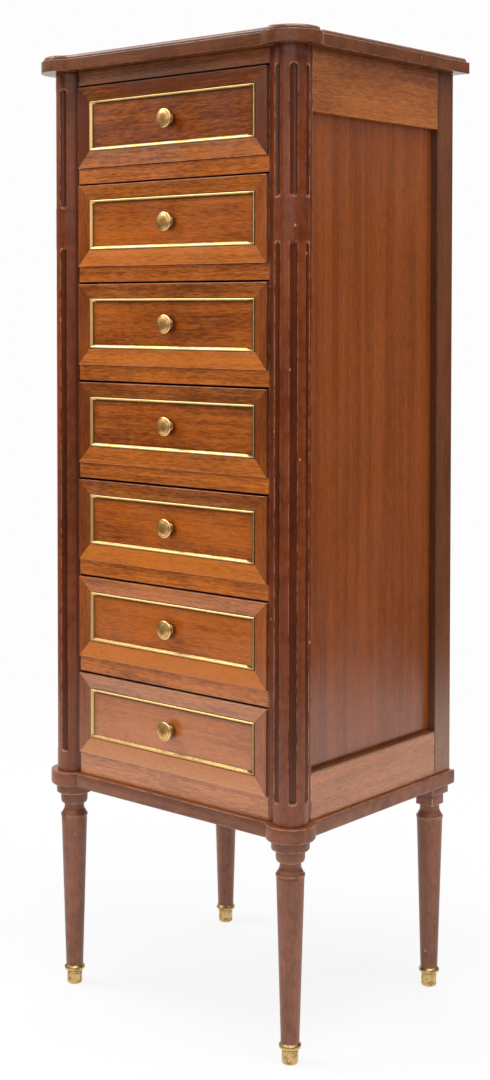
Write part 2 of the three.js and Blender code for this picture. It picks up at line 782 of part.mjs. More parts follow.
const levels = railLevels();
addPiece("front_rail_bottom", runningRail(levels[0]), mahogany);
addPiece("front_rail_top", frontRail(levels[DRAWER_COUNT]), darkMahogany);
for (let i = 1; i < DRAWER_COUNT; i += 1) {
  addPiece(`drawer_rail_${i}`, runningRail(levels[DRAWER_COUNT - i]), mahogany);
}

const legNames = ["front_left", "front_right", "back_left", "back_right"];
legNames.forEach((name, i) => {
  addPiece(`leg_${name}`, legSolid(legPlaces[i], i > 1), legMahogany);
  addPiece(`shoe_${name}`, shoe(legPlaces[i]), knobBrass);
});

for (let i = 1; i <= DRAWER_COUNT; i += 1) {
  const level = firstRunner + (DRAWER_COUNT - i) * pitch;
  addPiece(`drawer_${i}_front`, drawerFront(level), mahogany);
  addPiece(`drawer_${i}_box`, drawerBox(level), innerWood);
  addPiece(`drawer_${i}_trim`, drawerTrim(level), beadBrass);
  addPiece(`drawer_${i}_knob`, drawerKnob(level), knobBrass);
}

export default semainier;
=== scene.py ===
"""The looks of a semainier: a tall, narrow mahogany chest of seven drawers with fluted corner columns.

Metres, +Z up, the front faces -Y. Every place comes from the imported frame, and the sizes that the frame
doesn't give are named below. New pieces are numpy surfaces: closed loops of points carried along a path.
"""

import math

import bmesh
import bpy
import numpy as np
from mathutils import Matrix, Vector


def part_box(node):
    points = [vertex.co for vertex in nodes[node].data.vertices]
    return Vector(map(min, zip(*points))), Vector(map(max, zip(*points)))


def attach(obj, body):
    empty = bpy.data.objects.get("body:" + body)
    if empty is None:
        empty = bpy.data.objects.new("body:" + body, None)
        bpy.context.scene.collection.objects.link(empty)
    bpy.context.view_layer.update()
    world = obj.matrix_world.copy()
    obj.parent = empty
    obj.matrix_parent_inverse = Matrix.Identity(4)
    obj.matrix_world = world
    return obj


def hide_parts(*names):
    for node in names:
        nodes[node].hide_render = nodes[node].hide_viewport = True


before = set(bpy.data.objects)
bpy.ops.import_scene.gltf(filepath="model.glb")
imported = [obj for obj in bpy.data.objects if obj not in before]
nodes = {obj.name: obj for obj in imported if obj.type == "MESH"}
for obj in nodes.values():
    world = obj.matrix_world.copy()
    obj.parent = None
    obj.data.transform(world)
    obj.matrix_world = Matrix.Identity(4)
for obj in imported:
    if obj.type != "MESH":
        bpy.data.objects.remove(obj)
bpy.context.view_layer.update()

# Camera, at the photograph's viewing angle
CAMERA_PLACE = (1.4549, -1.71613, 0.91856)
CAMERA_TILT = 1.9831
CAMERA_ROLL = -0.0537
CAMERA_AZIMUTH = 40.4928
CAMERA_LENS = 55.81
CAMERA_SHIFT = -0.1594
CAMERA_REACH = 200.0

# Studio
FLOOR_HALF = 30.0
FLOOR_WHITE = 0.98
FLOOR_GREY = (0.86, 0.86, 0.86, 1.0)
FLOOR_ROUGHNESS = 0.9
FLOOR_SHADE_SHARE = 0.14
FLOOR_SHADE_LIMITS = (0.7, 2.2)
CURTAIN_RADIUS = 2.05
CURTAIN_HEIGHT = 2.3
CURTAIN_FADE = 1.75  # the height at which it starts to turn light
CURTAIN_AZIMUTHS = (-95, 172)
CURTAIN_POINTS = 41
CURTAIN_DARK = 0.06
CURTAIN_LIGHT = 1.0
CURTAIN_COLOUR = (1.0, 0.98, 0.95, 1.0)
WINDOW_CORE_SHARE = 0.65
WINDOWS = (
    # azimuth, half width, low and high height, dim and bright glow
    (25, 42, 0.86, 1.22, 0.22, 1.15),
    (-80, 44, 1.05, 1.50, 0.06, 0.42),
    (140, 45, 1.05, 1.40, 0.06, 0.20),
)
WORLD_LIGHT = 0.42
WHITE = (1.0, 1.0, 1.0, 1.0)
LAMP_TARGET = (0.0, 0.0, 0.6)
LAMPS = {
    # name: (azimuth, elevation, distance, size, watts)
    "key": (-54, 40, 2.7, 1.5, 50),
    "overhead": (60, 74, 2.7, 1.8, 60),
    "fill": (96, 34, 3.2, 1.6, 22),
    "back": (205, 44, 3.2, 1.6, 22),
}

# Noise: features per metre, all ways or along and across the grain, detail, roughness, limits of its spread
RIBBON = ((1.5, 60.0), 1.5, 0.5, (0.3, 0.7))
CLOUD = ((7.0, 22.0), 2.0, 0.6, (0.3, 0.7))
BAND = ((6.0, 380.0), 2.0, 0.6, (0.3, 0.7))
FLECK = ((66.0, 620.0), 2.0, 0.6, (0.36, 0.64))
WORN_PATCH = (70.0, 3.0, 0.6, (0.36, 0.6))
HAZE = (14.0, 3.0, 0.5, (0.3, 0.7))
INNER_BAND = ((3.0, 120.0), 3.0, 0.6, (0.3, 0.7))
INNER_PORE = ((60.0, 1300.0), 1.0, 0.5, (0.58, 0.7))
PATINA = (160.0, 4.0, 0.65, (0.35, 0.7))
SPECK = (900.0, 3.0, 0.6, (0.35, 0.7))

# Wood
BEND_SCALE = 2.5  # features per metre
BEND_REACH = 0.005
BAND_SHARE = 0.4
TONE_LIMITS = (-0.12, 1.12)
PORE_GRID = (70.0, 900.0)
PORE_WIDTHS = (0.14, 0.30)
PORE_SHARE = 0.4
PORE_DARK_SHARE = 0.3
NICK_GRID = (34.0, 34.0, 24.0)
NICK_WIDTHS = (0.035, 0.06)
WEAR_SHARE = 0.85
# Share and darkness of the darkening, which holds painted shadows as well as darker creases
SHADE_AND_DIRT_SHARE = 0.88
SHADE_AND_DIRT_DARK_SHARE = 0.2
HAZE_RANGE = (-0.03, 0.05)
# Painted light from the white floor: the wood lighter and paler towards the foot of the case
FLOOR_LIGHT_TONE_SHARE = 0.4
FLOOR_LIGHT_TONE_TOP = 0.8
FLOOR_LIGHT_TOP = 0.54
# Painted shadow of the top board's overhang: the wood darker just under the top
HEAD_SHADE = 0.22
HEAD_SHADE_REACH = 0.035
INNER_BAND_SHARE = 0.7
INNER_PORE_SHARE = 0.35
INNER_ROUGHNESS = (0.62, 0.75)

# Brass
SPECK_SHARE = 0.3
RUBBED_SHARE = 0.5
PATINA_ROUGHNESS = 0.3

# Relief: strength and depth
WOOD_RELIEF = (0.15, 0.00005)
INNER_RELIEF = (0.3, 0.0002)
BRASS_RELIEF = (0.12, 0.0002)

# Darkening towards the corners of a side panel's recess: reach and share
RAIL_LEDGE_DARKENING = (0.004, 0.75)
PANEL_FOOT_DARKENING = (0.009, 0.5)
PANEL_BACK_DARKENING = (0.014, 0.28)
# Painted shade on the back post's inner face beside the panel
BACK_POST_PAINTED_SHADE = (0.004, 0.55)

# Edges
SHARP_ANGLE = math.radians(38)
WORN_ROUND = 0.001  # an arris of this radius is fully worn
LEAST_GAP = 1e-6
LEAST_STEP = 1e-7
EASE_MOST_SHARE = 0.48
BAR_CORNER_SHARE = 0.2
TURNED_EASE_STEPS = 5

# Top board
TOP_EDGE = 0.0325
TOP_EAR_RADIUS = 0.0418
TOP_EAR_ARRIS = 0.008
TOP_COVE_LENGTH = 0.018
TOP_FACE_HEIGHT = 0.015
TOP_STEP = 0.003
TOP_STEP_RISE = 0.0008
TOP_ROUND = 0.0036
TOP_ROUND_STEPS = 8
TOP_EASE = 0.0009
TOP_WEAR = 0.25

# Base board
BASE_EDGE = 0.0196
BASE_EAR_RADIUS = 0.031
BASE_ROUND = 0.004
BASE_ROUND_STEPS = 6
BASE_EASE = 0.001
BASE_WEAR = 0.35

COVE_POINTS = 13
EAR_POINTS = 50

# Front columns
COLUMN_RADIUS = 0.0224
FLUTE_RADIUS = 0.0056
FLUTE_DEPTH = 0.004
FLUTE_REACH = COLUMN_RADIUS + FLUTE_RADIUS - FLUTE_DEPTH
FLUTE_ANGLES = np.radians([-12, 45, 102])
FLUTE_MARGIN_SHARE = 1.04
FLUTE_SOFTNESS = 0.00022
FLUTE_FOOT = 0.026
FLUTE_HEAD = 0.021
FLUTE_STEPS = 18
FLUTE_END_STEPS = 11
LAND_POINTS = 9
LAST_LAND_POINTS = 8
UPPER_FLUTE_LENGTH = 0.1605
FLUTE_BREAK = 0.051
# The flutes are darker by their depth
FLUTE_TONE = -0.25
FLUTE_DARKENING = 0.45
BAND_TONE = -0.14
# The left post is darker beside the drawers
POST_DARKENING = 0.85
POST_DARKENING_SHARES = (0.3, 0.12)
POST_DARKENING_POINTS = 3
POST_EASE = 0.0008

# Drawers
FRAME_PROUD = 0.0033
FRAME_SIDE = 0.0195
FRAME_HEAD = 0.0184
FRAME_FOOT = 0.0215
FRAME_LAND = 0.0010
FRAME_FALL = 0.0014
FRAME_EASES = (0, 0.0010, 0.0012, 0.0004, 0)
# Painted light and shade by member: the bottom mouldings lighter, the top and side ones darker
FRAME_LIGHT_TONES = {"top": -0.15, "bottom": 0.24, "left": -0.25, "right": -0.28}
# Pale arrises by member: partly wear, partly a painted highlight along the arrises
FRAME_WEAR_AND_HIGHLIGHT = {"top": 0.4, "bottom": 0.7, "left": 0.2, "right": 0.1}
# Tone of each drawer, top to bottom: partly its own wood, partly painted shade on the top drawer and
# painted floor light on the lowest ones
DRAWER_WOOD_AND_LIGHT_TONES = (-0.23, 0.12, 0.02, -0.08, 0.02, 0.18, 0.12)
FACE_THICKNESS = 0.018
FACE_EASE = 0.0007
MITRE_GAP = 0.00012
PANEL_INSETS = (-0.004, 0.0, 0.0005, 0.0012, 0.0022, 0.004, 0.007, 0.012)
PANEL_SIDE_SHARES = (0.0, 0.006, 0.02, 0.06, 0.2, 0.38, 0.44, 0.46, 0.477, 0.489)
PANEL_SIDE_SHARES += (0.5, 0.511, 0.523, 0.54, 0.56, 0.62, 0.8, 0.94, 0.98, 0.994)
# Painted shadow of the bead on the panel: share by side and reach
PANEL_BEAD_SHADOW = (0.95, 0.35, 0.3, 0.8)  # left, right, foot, head
PANEL_BEAD_SHADOW_REACH = (0.0035, 0.0015, 0.001, 0.0018)
# Painted shadow of the knob on the panel: circles round its foot, shifted down and to the right
KNOB_SHADE_RADII = (0.0125, 0.0108, 0.0088, 0.006)
KNOB_SHADOW_DARKNESS = (0.0, 0.25, 0.65, 0.95)
KNOB_SHADE_SHIFT = 0.002
BOX_WALL = 0.010
BOX_BACK_DROP = 0.010
BOX_BOTTOM_RAISE = 0.008
BOX_BOTTOM_THICKNESS = 0.005
BOX_EASE = 0.0009

# Beads
BEAD_WIDTH = 0.0048
BEAD_PROUD = 0.0028
BEAD_LIP = 0.0008
BEAD_SEAT = 0.0001
BEAD_CROWN_PLACE = 0.0014
BEAD_CROWN_CUT = 0.0005
BEAD_SLOPE_SHARE = 0.96
BEAD_EASES = (0, 0.0002, 0.0014, 0.0004, 0)
BEAD_CLEARANCE = 0.0004
BEAD_STEPS = 30
BEAD_EASE_STEPS = 6
BEAD_WAVER = 0.00006
BEAD_WAVES = ((0.9, 2.1), (0.37, 1.0))  # turn for each step and each drawer
# Patina by side, which also paints light and shade: the left strip lighter, the right and top darker
BEAD_SIDE_PATINA_AND_LIGHT = (0.12, 0.6, 0.22, -0.6)  # bottom, right, top, left
# More patina towards the lips: partly patina in the hollows, partly painted shade on the right and top
# strips
BEAD_EDGE_PATINA_AND_SHADE = (1.0, 2.4, 2.0, 1.2)

# Knobs
KNOB_RADIUS = 0.0122
KNOB_TIP = 0.0003
KNOB_SEAT = 0.0001
KNOB_STEM_RADIUS = 0.0026
KNOB_STEM_LENGTH = 0.012
KNOB_ROSE_SHARE = 0.52
KNOB_SHARES = (
    # radius, distance from the drawer's face
    (KNOB_ROSE_SHARE, 0.09), (0.37, 0.17), (0.29, 0.40), (0.36, 0.61), (0.88, 0.67), (1.0, 0.74),
    (0.98, 0.80), (0.88, 0.855), (0.82, 0.86), (0.60, 0.945), (0.30, 0.990),
)
KNOB_EASES = (
    0, 0, 0, 0.0002, 0.0008, 0.0012, 0.0024, 0.0012,
    0.0012, 0.0008, 0.0008, 0.0006, 0.0003, 0.0022, 0.0022, 0,
)
KNOB_STEPS = 56
KNOB_PATCH = 0.007
KNOB_TONE = 0.8
KNOB_NECK_SHARE = 0.62

# Legs, from the base board down
DISC_RADIUS = 0.0237
DISC_HEIGHT = 0.0118
RING_RADIUS = 0.0181
RING_HEIGHT = 0.015
RING_DRAW = 0.0012
RING_RISE = 0.0045
NECK_RADIUS = 0.0132
NECK_HEIGHT = 0.005
NECK_SWELL = 0.0006
NECK_DROP = 0.004
FLARE_RADIUS = 0.0181
FLARE_HEIGHT = 0.010
FLARE_LIP = 0.001
FLARE_DRAW = 0.0022
FLARE_RISE = 0.003
LEG_BEAD_HEIGHT = 0.0034
LEG_TOP_RADIUS = 0.0173
LEG_TOP_DRAW = 0.0006
LEG_TOP_DROP = 0.0012
LEG_FOOT_RADIUS = 0.0115
LEG_PEG_LENGTH = 0.012
LEG_TIP = 0.0005
LEG_HEAD_GAP = 0.0002
LEG_STEPS = 72
LEG_EASES = (0, 0, 0, 0.0008, 0.0004, 0.0004, 0.0013, 0.0013, 0.0002, 0.0020, 0.0030, 0.0015, 0.0006)
ROUND_HEAD_EASES = (0.0022, 0.0030, 0.0005, 0.0016, 0.0012, 0)
BACK_DISC_SIDE = 0.036
BACK_RING_SIDE = 0.027
BACK_HEAD_EASE = 0.0014
BACK_PEG_RISE = 0.001

# Shoes
SHOE_COLLAR_RADIUS = 0.0139
SHOE_FOOT_RADIUS = 0.0101
SHOE_BORE = 0.0075
SHOE_TIP = 0.0004
SHOE_FLOOR_SHARE = 0.35
SHOE_FOOT_SHARES = ((0.90, 0.0), (1.0, 0.08), (1.0, 0.60), (1.08, 0.67), (1.0, 0.715))  # radius, height
SHOE_COLLAR_SHARES = ((0.90, 0.735), (1.0, 0.80), (1.0, 0.90), (0.86, 0.985), (0.84, 1.0))
SHOE_EASES = (0, 0.0010, 0.0008, 0.0010, 0.0006, 0.0004, 0.0008, 0.0020, 0.0020, 0.0006, 0.0002, 0, 0, 0)
SHOE_STEPS = 56

# CAD pieces that keep their shape
WELD_DISTANCE = 0.00002
EASE_ANGLE = math.radians(40)
RAIL_EASE = 0.0005
SIDE_RAIL_EASES = {"top": 0.0014, "bottom": 0.0008}
BACK_POST_EASE = 0.0010
RUNNER_EASE = 0.0010

DRAWERS = range(1, 8)
SIDES = {"left": -1, "right": 1}
CORNERS = ("front_left", "front_right", "back_left", "back_right")


# Places that the frame gives

def centre(node):
    low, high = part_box(node)
    return (low + high) / 2


axis_x, axis_y = centre("leg_front_right").xy
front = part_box("front_rail_top")[0].y
post_low, post_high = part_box("post_front_right")
opening = post_low.x
post_back = post_high.y
side_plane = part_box("post_back_right")[1].x
recess_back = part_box("post_back_right")[0].y
recess_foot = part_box("side_rail_bottom_right")[1].z
base_low, base_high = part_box("base_board")
top_low, top_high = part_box("top_board")


# Nodes of a material

def add(tree, kind, settings=None, **inputs):
    """Adds a shader node. An input's value is a socket to link from or a constant, and _0 is input 0."""
    node = tree.nodes.new("ShaderNode" + kind)
    for key, value in (settings or {}).items():
        setattr(node, key, value)
    for key, value in inputs.items():
        socket = node.inputs[int(key[1:])] if key[0] == "_" else node.inputs[key.replace("_", " ")]
        if isinstance(value, bpy.types.NodeSocket):
            tree.links.new(value, socket)
        else:
            socket.default_value = value
    return node


def maths(tree, operation, a, b=0.0):
    return add(tree, "Math", {"operation": operation}, _0=a, _1=b).outputs[0]


def plus(tree, a, b):
    return maths(tree, "ADD", a, b)


def minus(tree, a, b):
    return maths(tree, "SUBTRACT", a, b)


def times(tree, a, b):
    return maths(tree, "MULTIPLY", a, b)


def spread(tree, value, low, high, start=0.0, end=1.0):
    """Maps low..high of a value to start..end, held at both ends."""
    settings = {"clamp": True, "interpolation_type": "SMOOTHSTEP"}
    return add(tree, "MapRange", settings, _0=value, _1=low, _2=high, _3=start, _4=end).outputs[0]


def mixed(tree, share, first, second):
    """A colour mix. First and second are sockets or linear RGB triples."""
    colours = []
    for value in (first, second):
        colours.append(value if isinstance(value, bpy.types.NodeSocket) else (*value, 1.0))
    return add(tree, "Mix", {"data_type": "RGBA"}, _0=share, _6=colours[0], _7=colours[1]).outputs[2]


def along(axis, lengthwise, across):
    """A stretch vector with one value along the grain and another across it."""
    stretch = [across] * 3
    stretch[axis] = lengthwise
    return stretch


def noise(tree, place, grain, axis=None, results=(0.0, 1.0)):
    """Noise of a grain, as the tables above give it, spread from its limits to the results."""
    size, detail, roughness, limits = grain
    stretch = [size] * 3 if axis is None else along(axis, *size)
    place = add(tree, "Mapping", _0=place, Scale=stretch).outputs[0]
    node = add(tree, "TexNoise", Vector=place, Scale=1.0, Detail=detail, Roughness=roughness)
    return spread(tree, node.outputs[0], *limits, *results)


def dashes(tree, place, stretch, widths):
    """1 inside a dash in each cell of a stretched grid. It fades out between two half widths, in cells."""
    place = add(tree, "Mapping", _0=place, Scale=stretch).outputs[0]
    cells = add(tree, "TexVoronoi", Vector=place, Scale=1.0)
    return spread(tree, cells.outputs["Distance"], *widths, 1.0, 0.0)


def attribute(tree, name):
    return add(tree, "Attribute", {"attribute_name": name}).outputs["Fac"]


def emptied(data):
    """The node tree of a material or world, emptied."""
    data.use_nodes = True
    data.node_tree.nodes.clear()
    return data.node_tree


def shader(name):
    """A new Principled material. Returns it, its tree and its shader."""
    material = bpy.data.materials.new(name)
    tree = emptied(material)
    surface = add(tree, "BsdfPrincipled")
    add(tree, "OutputMaterial", Surface=surface.outputs[0])
    return material, tree, surface


def dress(tree, surface, colour, roughness, height, relief):
    """Links a shader's colour and roughness, and its relief from a height."""
    strength, depth = relief
    bump = add(tree, "Bump", Strength=strength, Distance=depth, Height=height)
    for name, socket in (("Base Color", colour), ("Roughness", roughness), ("Normal", bump.outputs[0])):
        tree.links.new(socket, surface.inputs[name])


def mahogany(
    name, axis, dark, light, figure=0.2, streak=0.56, cloudy=0.26, gloss=0.2, polish=0.9,
    worn=0.0, floor_light=0.0, nicks=0.0, grime=(),
):
    """Polished mahogany whose grain runs along the axis 0, 1 or 2.

    Colour runs from dark to light by clouds, broad ribbons, narrow bands and fine flecks, which are noise
    drawn out along the grain and slightly bent. Pores are short dark dashes. Eased arrises are worn pale in
    patches, and a few small nicks are pale. Concave creases are darker, and so are the places that a piece
    gives, which hold painted shadows of the beads and knobs. Where a share of floor light is given, painted
    light from the floor lightens and pales the wood at the foot of the case by that share, and a painted
    shadow of the top's overhang darkens it just under the top. Each row of `grime` is an axis, a place on
    it, a reach and a share of darkening, which thins out either way; these darken the side panel's recess.
    """
    material, tree, surface = shader(name)
    place = add(tree, "TexCoord").outputs["Object"]
    straight = add(tree, "SeparateXYZ", _0=place)
    bend = add(tree, "TexNoise", Vector=place, Scale=BEND_SCALE, Detail=1.0).outputs[1]
    offset = add(tree, "VectorMath", {"operation": "SCALE"}, _0=bend, Scale=BEND_REACH).outputs[0]
    place = add(tree, "VectorMath", {"operation": "ADD"}, _0=place, _1=offset).outputs[0]
    ribbon, cloud, band, fleck = [noise(tree, place, grain, axis) for grain in (RIBBON, CLOUD, BAND, FLECK)]
    fine = plus(tree, times(tree, band, BAND_SHARE), times(tree, fleck, 1 - BAND_SHARE))
    share = 0.5 - (figure + streak + cloudy) / 2
    for value, weight in ((ribbon, figure), (fine, streak), (cloud, cloudy)):
        share = plus(tree, share, times(tree, value, weight))
    share = plus(tree, share, attribute(tree, "tone"))
    # Painted floor light at the foot, and painted shadow of the top's overhang just under the top
    if floor_light:
        height = add(tree, "SeparateXYZ", _0=place).outputs[2]
        tone = spread(tree, height, base_high.z, FLOOR_LIGHT_TONE_TOP, FLOOR_LIGHT_TONE_SHARE * floor_light, 0.0)
        shade = spread(tree, height, top_low.z - HEAD_SHADE_REACH, top_low.z, 0.0, HEAD_SHADE)
        share = minus(tree, plus(tree, share, tone), shade)
    share = spread(tree, share, *TONE_LIMITS)
    colour = mixed(tree, share, dark, light)
    # Painted floor light: paler colours towards the foot
    if floor_light:
        floor_lit_share = spread(tree, height, base_high.z, FLOOR_LIGHT_TOP, floor_light, 0.0)
        colour = mixed(tree, floor_lit_share, colour, mixed(tree, share, *FLOOR_LIT_COLOURS))
    pore = times(tree, dashes(tree, place, along(axis, *PORE_GRID), PORE_WIDTHS), PORE_SHARE)
    colour = mixed(tree, pore, colour, [PORE_DARK_SHARE * value for value in dark])
    arris = maths(tree, "MAXIMUM", attribute(tree, "arris"), worn)
    bare = times(tree, times(tree, arris, noise(tree, place, WORN_PATCH)), WEAR_SHARE)
    colour = mixed(tree, bare, colour, BARE_WOOD)
    if nicks:
        spots = times(tree, dashes(tree, place, NICK_GRID, NICK_WIDTHS), nicks)
        colour = mixed(tree, spots, colour, BARE_WOOD)
    # Darker in concave creases and where the piece and the grime rows say, which holds painted shadows of
    # the beads and knobs and painted shade on the back post
    shade_and_dirt = attribute(tree, "hollow")
    for side, spot, reach, most in grime:
        gap = maths(tree, "ABSOLUTE", minus(tree, straight.outputs[side], spot))
        shade_and_dirt = maths(tree, "MAXIMUM", shade_and_dirt, spread(tree, gap, 0.0, reach, most, 0.0))
    colour = mixed(tree, times(tree, shade_and_dirt, SHADE_AND_DIRT_SHARE), colour, [SHADE_AND_DIRT_DARK_SHARE * value for value in dark])
    haze = noise(tree, place, HAZE, results=[gloss + value for value in HAZE_RANGE])
    surface.inputs["Specular IOR Level"].default_value = polish
    dress(tree, surface, colour, haze, fleck, WOOD_RELIEF)
    return material


def pale_wood(name, axis):
    """Plain unpolished wood inside the chest: fine pores and faint bands along the grain."""
    material, tree, surface = shader(name)
    place = add(tree, "TexCoord").outputs["Object"]
    band = noise(tree, place, INNER_BAND, axis)
    pore = noise(tree, place, INNER_PORE, axis)
    tone = plus(tree, times(tree, band, INNER_BAND_SHARE), attribute(tree, "tone"))
    colour = mixed(tree, times(tree, pore, INNER_PORE_SHARE), mixed(tree, tone, *INNER), INNER_DARK)
    roughness = spread(tree, band, 0.0, 1.0, *INNER_ROUGHNESS)
    dress(tree, surface, colour, roughness, minus(tree, 0.0, pore), INNER_RELIEF)
    return material


def brass(name, metal, patina, cover, gloss):
    """Brass with brown patina in patches and hollows, rubbed bright on its arrises."""
    material, tree, surface = shader(name)
    place = add(tree, "TexCoord").outputs["Object"]
    cloud = noise(tree, place, PATINA)
    specks = times(tree, noise(tree, place, SPECK), SPECK_SHARE * cover)
    grime = plus(tree, times(tree, cloud, cover), specks)
    grime = plus(tree, grime, plus(tree, attribute(tree, "hollow"), attribute(tree, "tone")))
    grime = minus(tree, grime, times(tree, attribute(tree, "arris"), RUBBED_SHARE))
    grime = spread(tree, grime, 0.0, 1.0)
    roughness = spread(tree, grime, 0.0, 1.0, gloss, gloss + PATINA_ROUGHNESS)
    surface.inputs["Metallic"].default_value = 1.0
    dress(tree, surface, mixed(tree, grime, metal, patina), roughness, cloud, BRASS_RELIEF)
    return material


# Woods and metals, in linear colour
BARE_WOOD = (0.66, 0.36, 0.22)
# Paler colours of the painted floor light at the foot of the case
FLOOR_LIT_COLOURS = ((0.26, 0.125, 0.066), (0.54, 0.275, 0.155))
WARM = ((0.115, 0.020, 0.0015), (0.510, 0.125, 0.0105))
MOULDING = ((0.125, 0.026, 0.0026), (0.560, 0.152, 0.0155))
# A lighter copy of the drawer mahogany: painted light on the rails, against the shade of the drawers above
LIT_RAIL = ((0.150, 0.029, 0.0028), (0.680, 0.185, 0.0190))
SIDE = ((0.160, 0.036, 0.0060), (0.540, 0.165, 0.0320))
# A darker mahogany for the top rail: painted shade of the top board's overhang
SHADED_HEAD_RAIL = ((0.120, 0.035, 0.0080), (0.370, 0.110, 0.0250))
PANEL = ((0.130, 0.026, 0.0040), (0.345, 0.084, 0.0145))
DARK = ((0.074, 0.0124, 0.0021), (0.250, 0.048, 0.0082))
BROWN = ((0.070, 0.022, 0.0072), (0.212, 0.066, 0.0230))
LEG = ((0.118, 0.033, 0.0120), (0.285, 0.090, 0.0370))
INNER = ((0.36, 0.21, 0.10), (0.50, 0.32, 0.165))
INNER_DARK = (0.16, 0.08, 0.035)
BEAD_BRASS = ((1.0, 0.66, 0.25), (0.13, 0.055, 0.012))
AGED_BRASS = ((1.0, 0.63, 0.25), (0.36, 0.17, 0.045))
SHOE_BRASS = ((0.70, 0.47, 0.19), (0.17, 0.10, 0.035))

warm = mahogany("warm_mahogany_x", 0, *WARM, floor_light=0.28)
moulding_wood = mahogany("moulding_mahogany", 0, *MOULDING, floor_light=0.6)
warm_upright = mahogany("warm_mahogany_z", 2, *WARM, figure=0.12, streak=0.3)
# Painted light: the rails' lighter copy of the drawer mahogany
lit_rail_wood = mahogany("rail_mahogany", 0, *LIT_RAIL, floor_light=0.32)
# Painted shade: the top rail's darker mahogany
shaded_head_rail_wood = mahogany("head_rail_mahogany", 0, *SHADED_HEAD_RAIL)
# Darker towards the corners of the side panel's recess
rail_ledge_darkening = [(2, recess_foot, *RAIL_LEDGE_DARKENING)]
side_wood = mahogany("side_mahogany", 1, *SIDE, streak=0.44, floor_light=0.2, grime=rail_ledge_darkening)
side_worn = mahogany("side_mahogany_worn", 1, *SIDE, worn=1.0, grime=rail_ledge_darkening)
panel_edge_darkening = [(2, recess_foot, *PANEL_FOOT_DARKENING), (1, recess_back, *PANEL_BACK_DARKENING)]
ribboned = mahogany("ribboned_mahogany", 2, *PANEL, figure=0.26, streak=0.36, cloudy=0.1, grime=panel_edge_darkening)
# Painted shade on the back post's inner face beside the panel
post_painted_shade = [(1, recess_back, *BACK_POST_PAINTED_SHADE)]
post_wood = mahogany("post_mahogany", 2, *BROWN, streak=0.36, polish=0.65, floor_light=0.3, grime=post_painted_shade)
post_worn = mahogany("post_mahogany_worn", 2, *BROWN, worn=0.5, grime=post_painted_shade)
column_wood = mahogany("column_mahogany", 2, *DARK, streak=0.32, polish=0.4, floor_light=0.1, nicks=0.7)
top_wood = mahogany("top_mahogany", 0, *BROWN, streak=0.4, polish=0.36, nicks=0.5)
leg_wood = mahogany("leg_mahogany", 2, *LEG, figure=0.4, streak=0.42, gloss=0.34, polish=0.5, nicks=0.6)
base_wood = mahogany("base_mahogany", 0, *LEG, figure=0.4, streak=0.42, gloss=0.30, polish=0.4)
inner = [pale_wood("inner_wood_%s" % "xyz"[axis], axis) for axis in range(3)]
bead_brass = brass("bead_brass", *BEAD_BRASS, cover=0.18, gloss=0.34)
aged_brass = brass("aged_brass", *AGED_BRASS, cover=0.35, gloss=0.30)
shoe_brass = brass("shoe_brass", *SHOE_BRASS, cover=0.65, gloss=0.30)


# Surfaces

def arc(start, end, steps):
    """Angles from start to end, in degrees, as radians."""
    return np.radians(np.linspace(start, end, steps + 1))


def eased(corners, reach, steps=4, closed=True):
    """A path through the corners, each swapped for a parabola that leaves and joins its lines at `reach`.

    A point at share s of the curve is (1-s)^2 of its start, 2s(1-s) of the corner and s^2 of its end.
    """
    corners = np.array(corners, float)
    reach = np.broadcast_to(np.array(reach, float), len(corners)).copy()
    if not closed:
        reach[[0, -1]] = 0.0
    ends = []
    for turn in (1, -1):
        gap = np.roll(corners, turn, 0) - corners
        length = np.linalg.norm(gap, axis=1)
        ends.append(corners + gap * (np.minimum(reach, EASE_MOST_SHARE * length) / length)[:, None])
    share = np.linspace(0, 1, steps + 1)[None, :, None]
    curve = (1 - share) ** 2 * ends[0][:, None] + share ** 2 * ends[1][:, None]
    curve = (curve + 2 * share * (1 - share) * corners[:, None]).reshape(-1, corners.shape[1])
    step = np.linalg.norm(curve - np.roll(curve, 1, 0), axis=1)
    return curve[step > LEAST_STEP]


def skin(grid, ring=False):
    """Points, corner indices and face sizes of a closed surface over rows of closed loops.

    Each face joins two neighbours of a loop to the same two of the next. The rows close into a ring, or
    their first and last loops are filled as flat ends.
    """
    rows, columns = grid.shape[:2]
    index = np.arange(rows * columns).reshape(rows, columns)
    lower = index if ring else index[:-1]
    upper = np.roll(index, -1, 0) if ring else index[1:]
    quads = np.stack([lower, np.roll(lower, -1, 1), np.roll(upper, -1, 1), upper], -1).reshape(-1)
    sizes = np.full(len(quads) // 4, 4)
    if not ring:
        quads = np.concatenate([quads, index[0][::-1], index[-1]])
        sizes = np.concatenate([sizes, [columns, columns]])
    return grid.reshape(-1, 3), quads, sizes


def fetch(items, name, width, kind):
    """A property of a mesh's parts, with `width` values for each."""
    values = np.zeros(len(items) * width, kind)
    items.foreach_get(name, values)
    return values


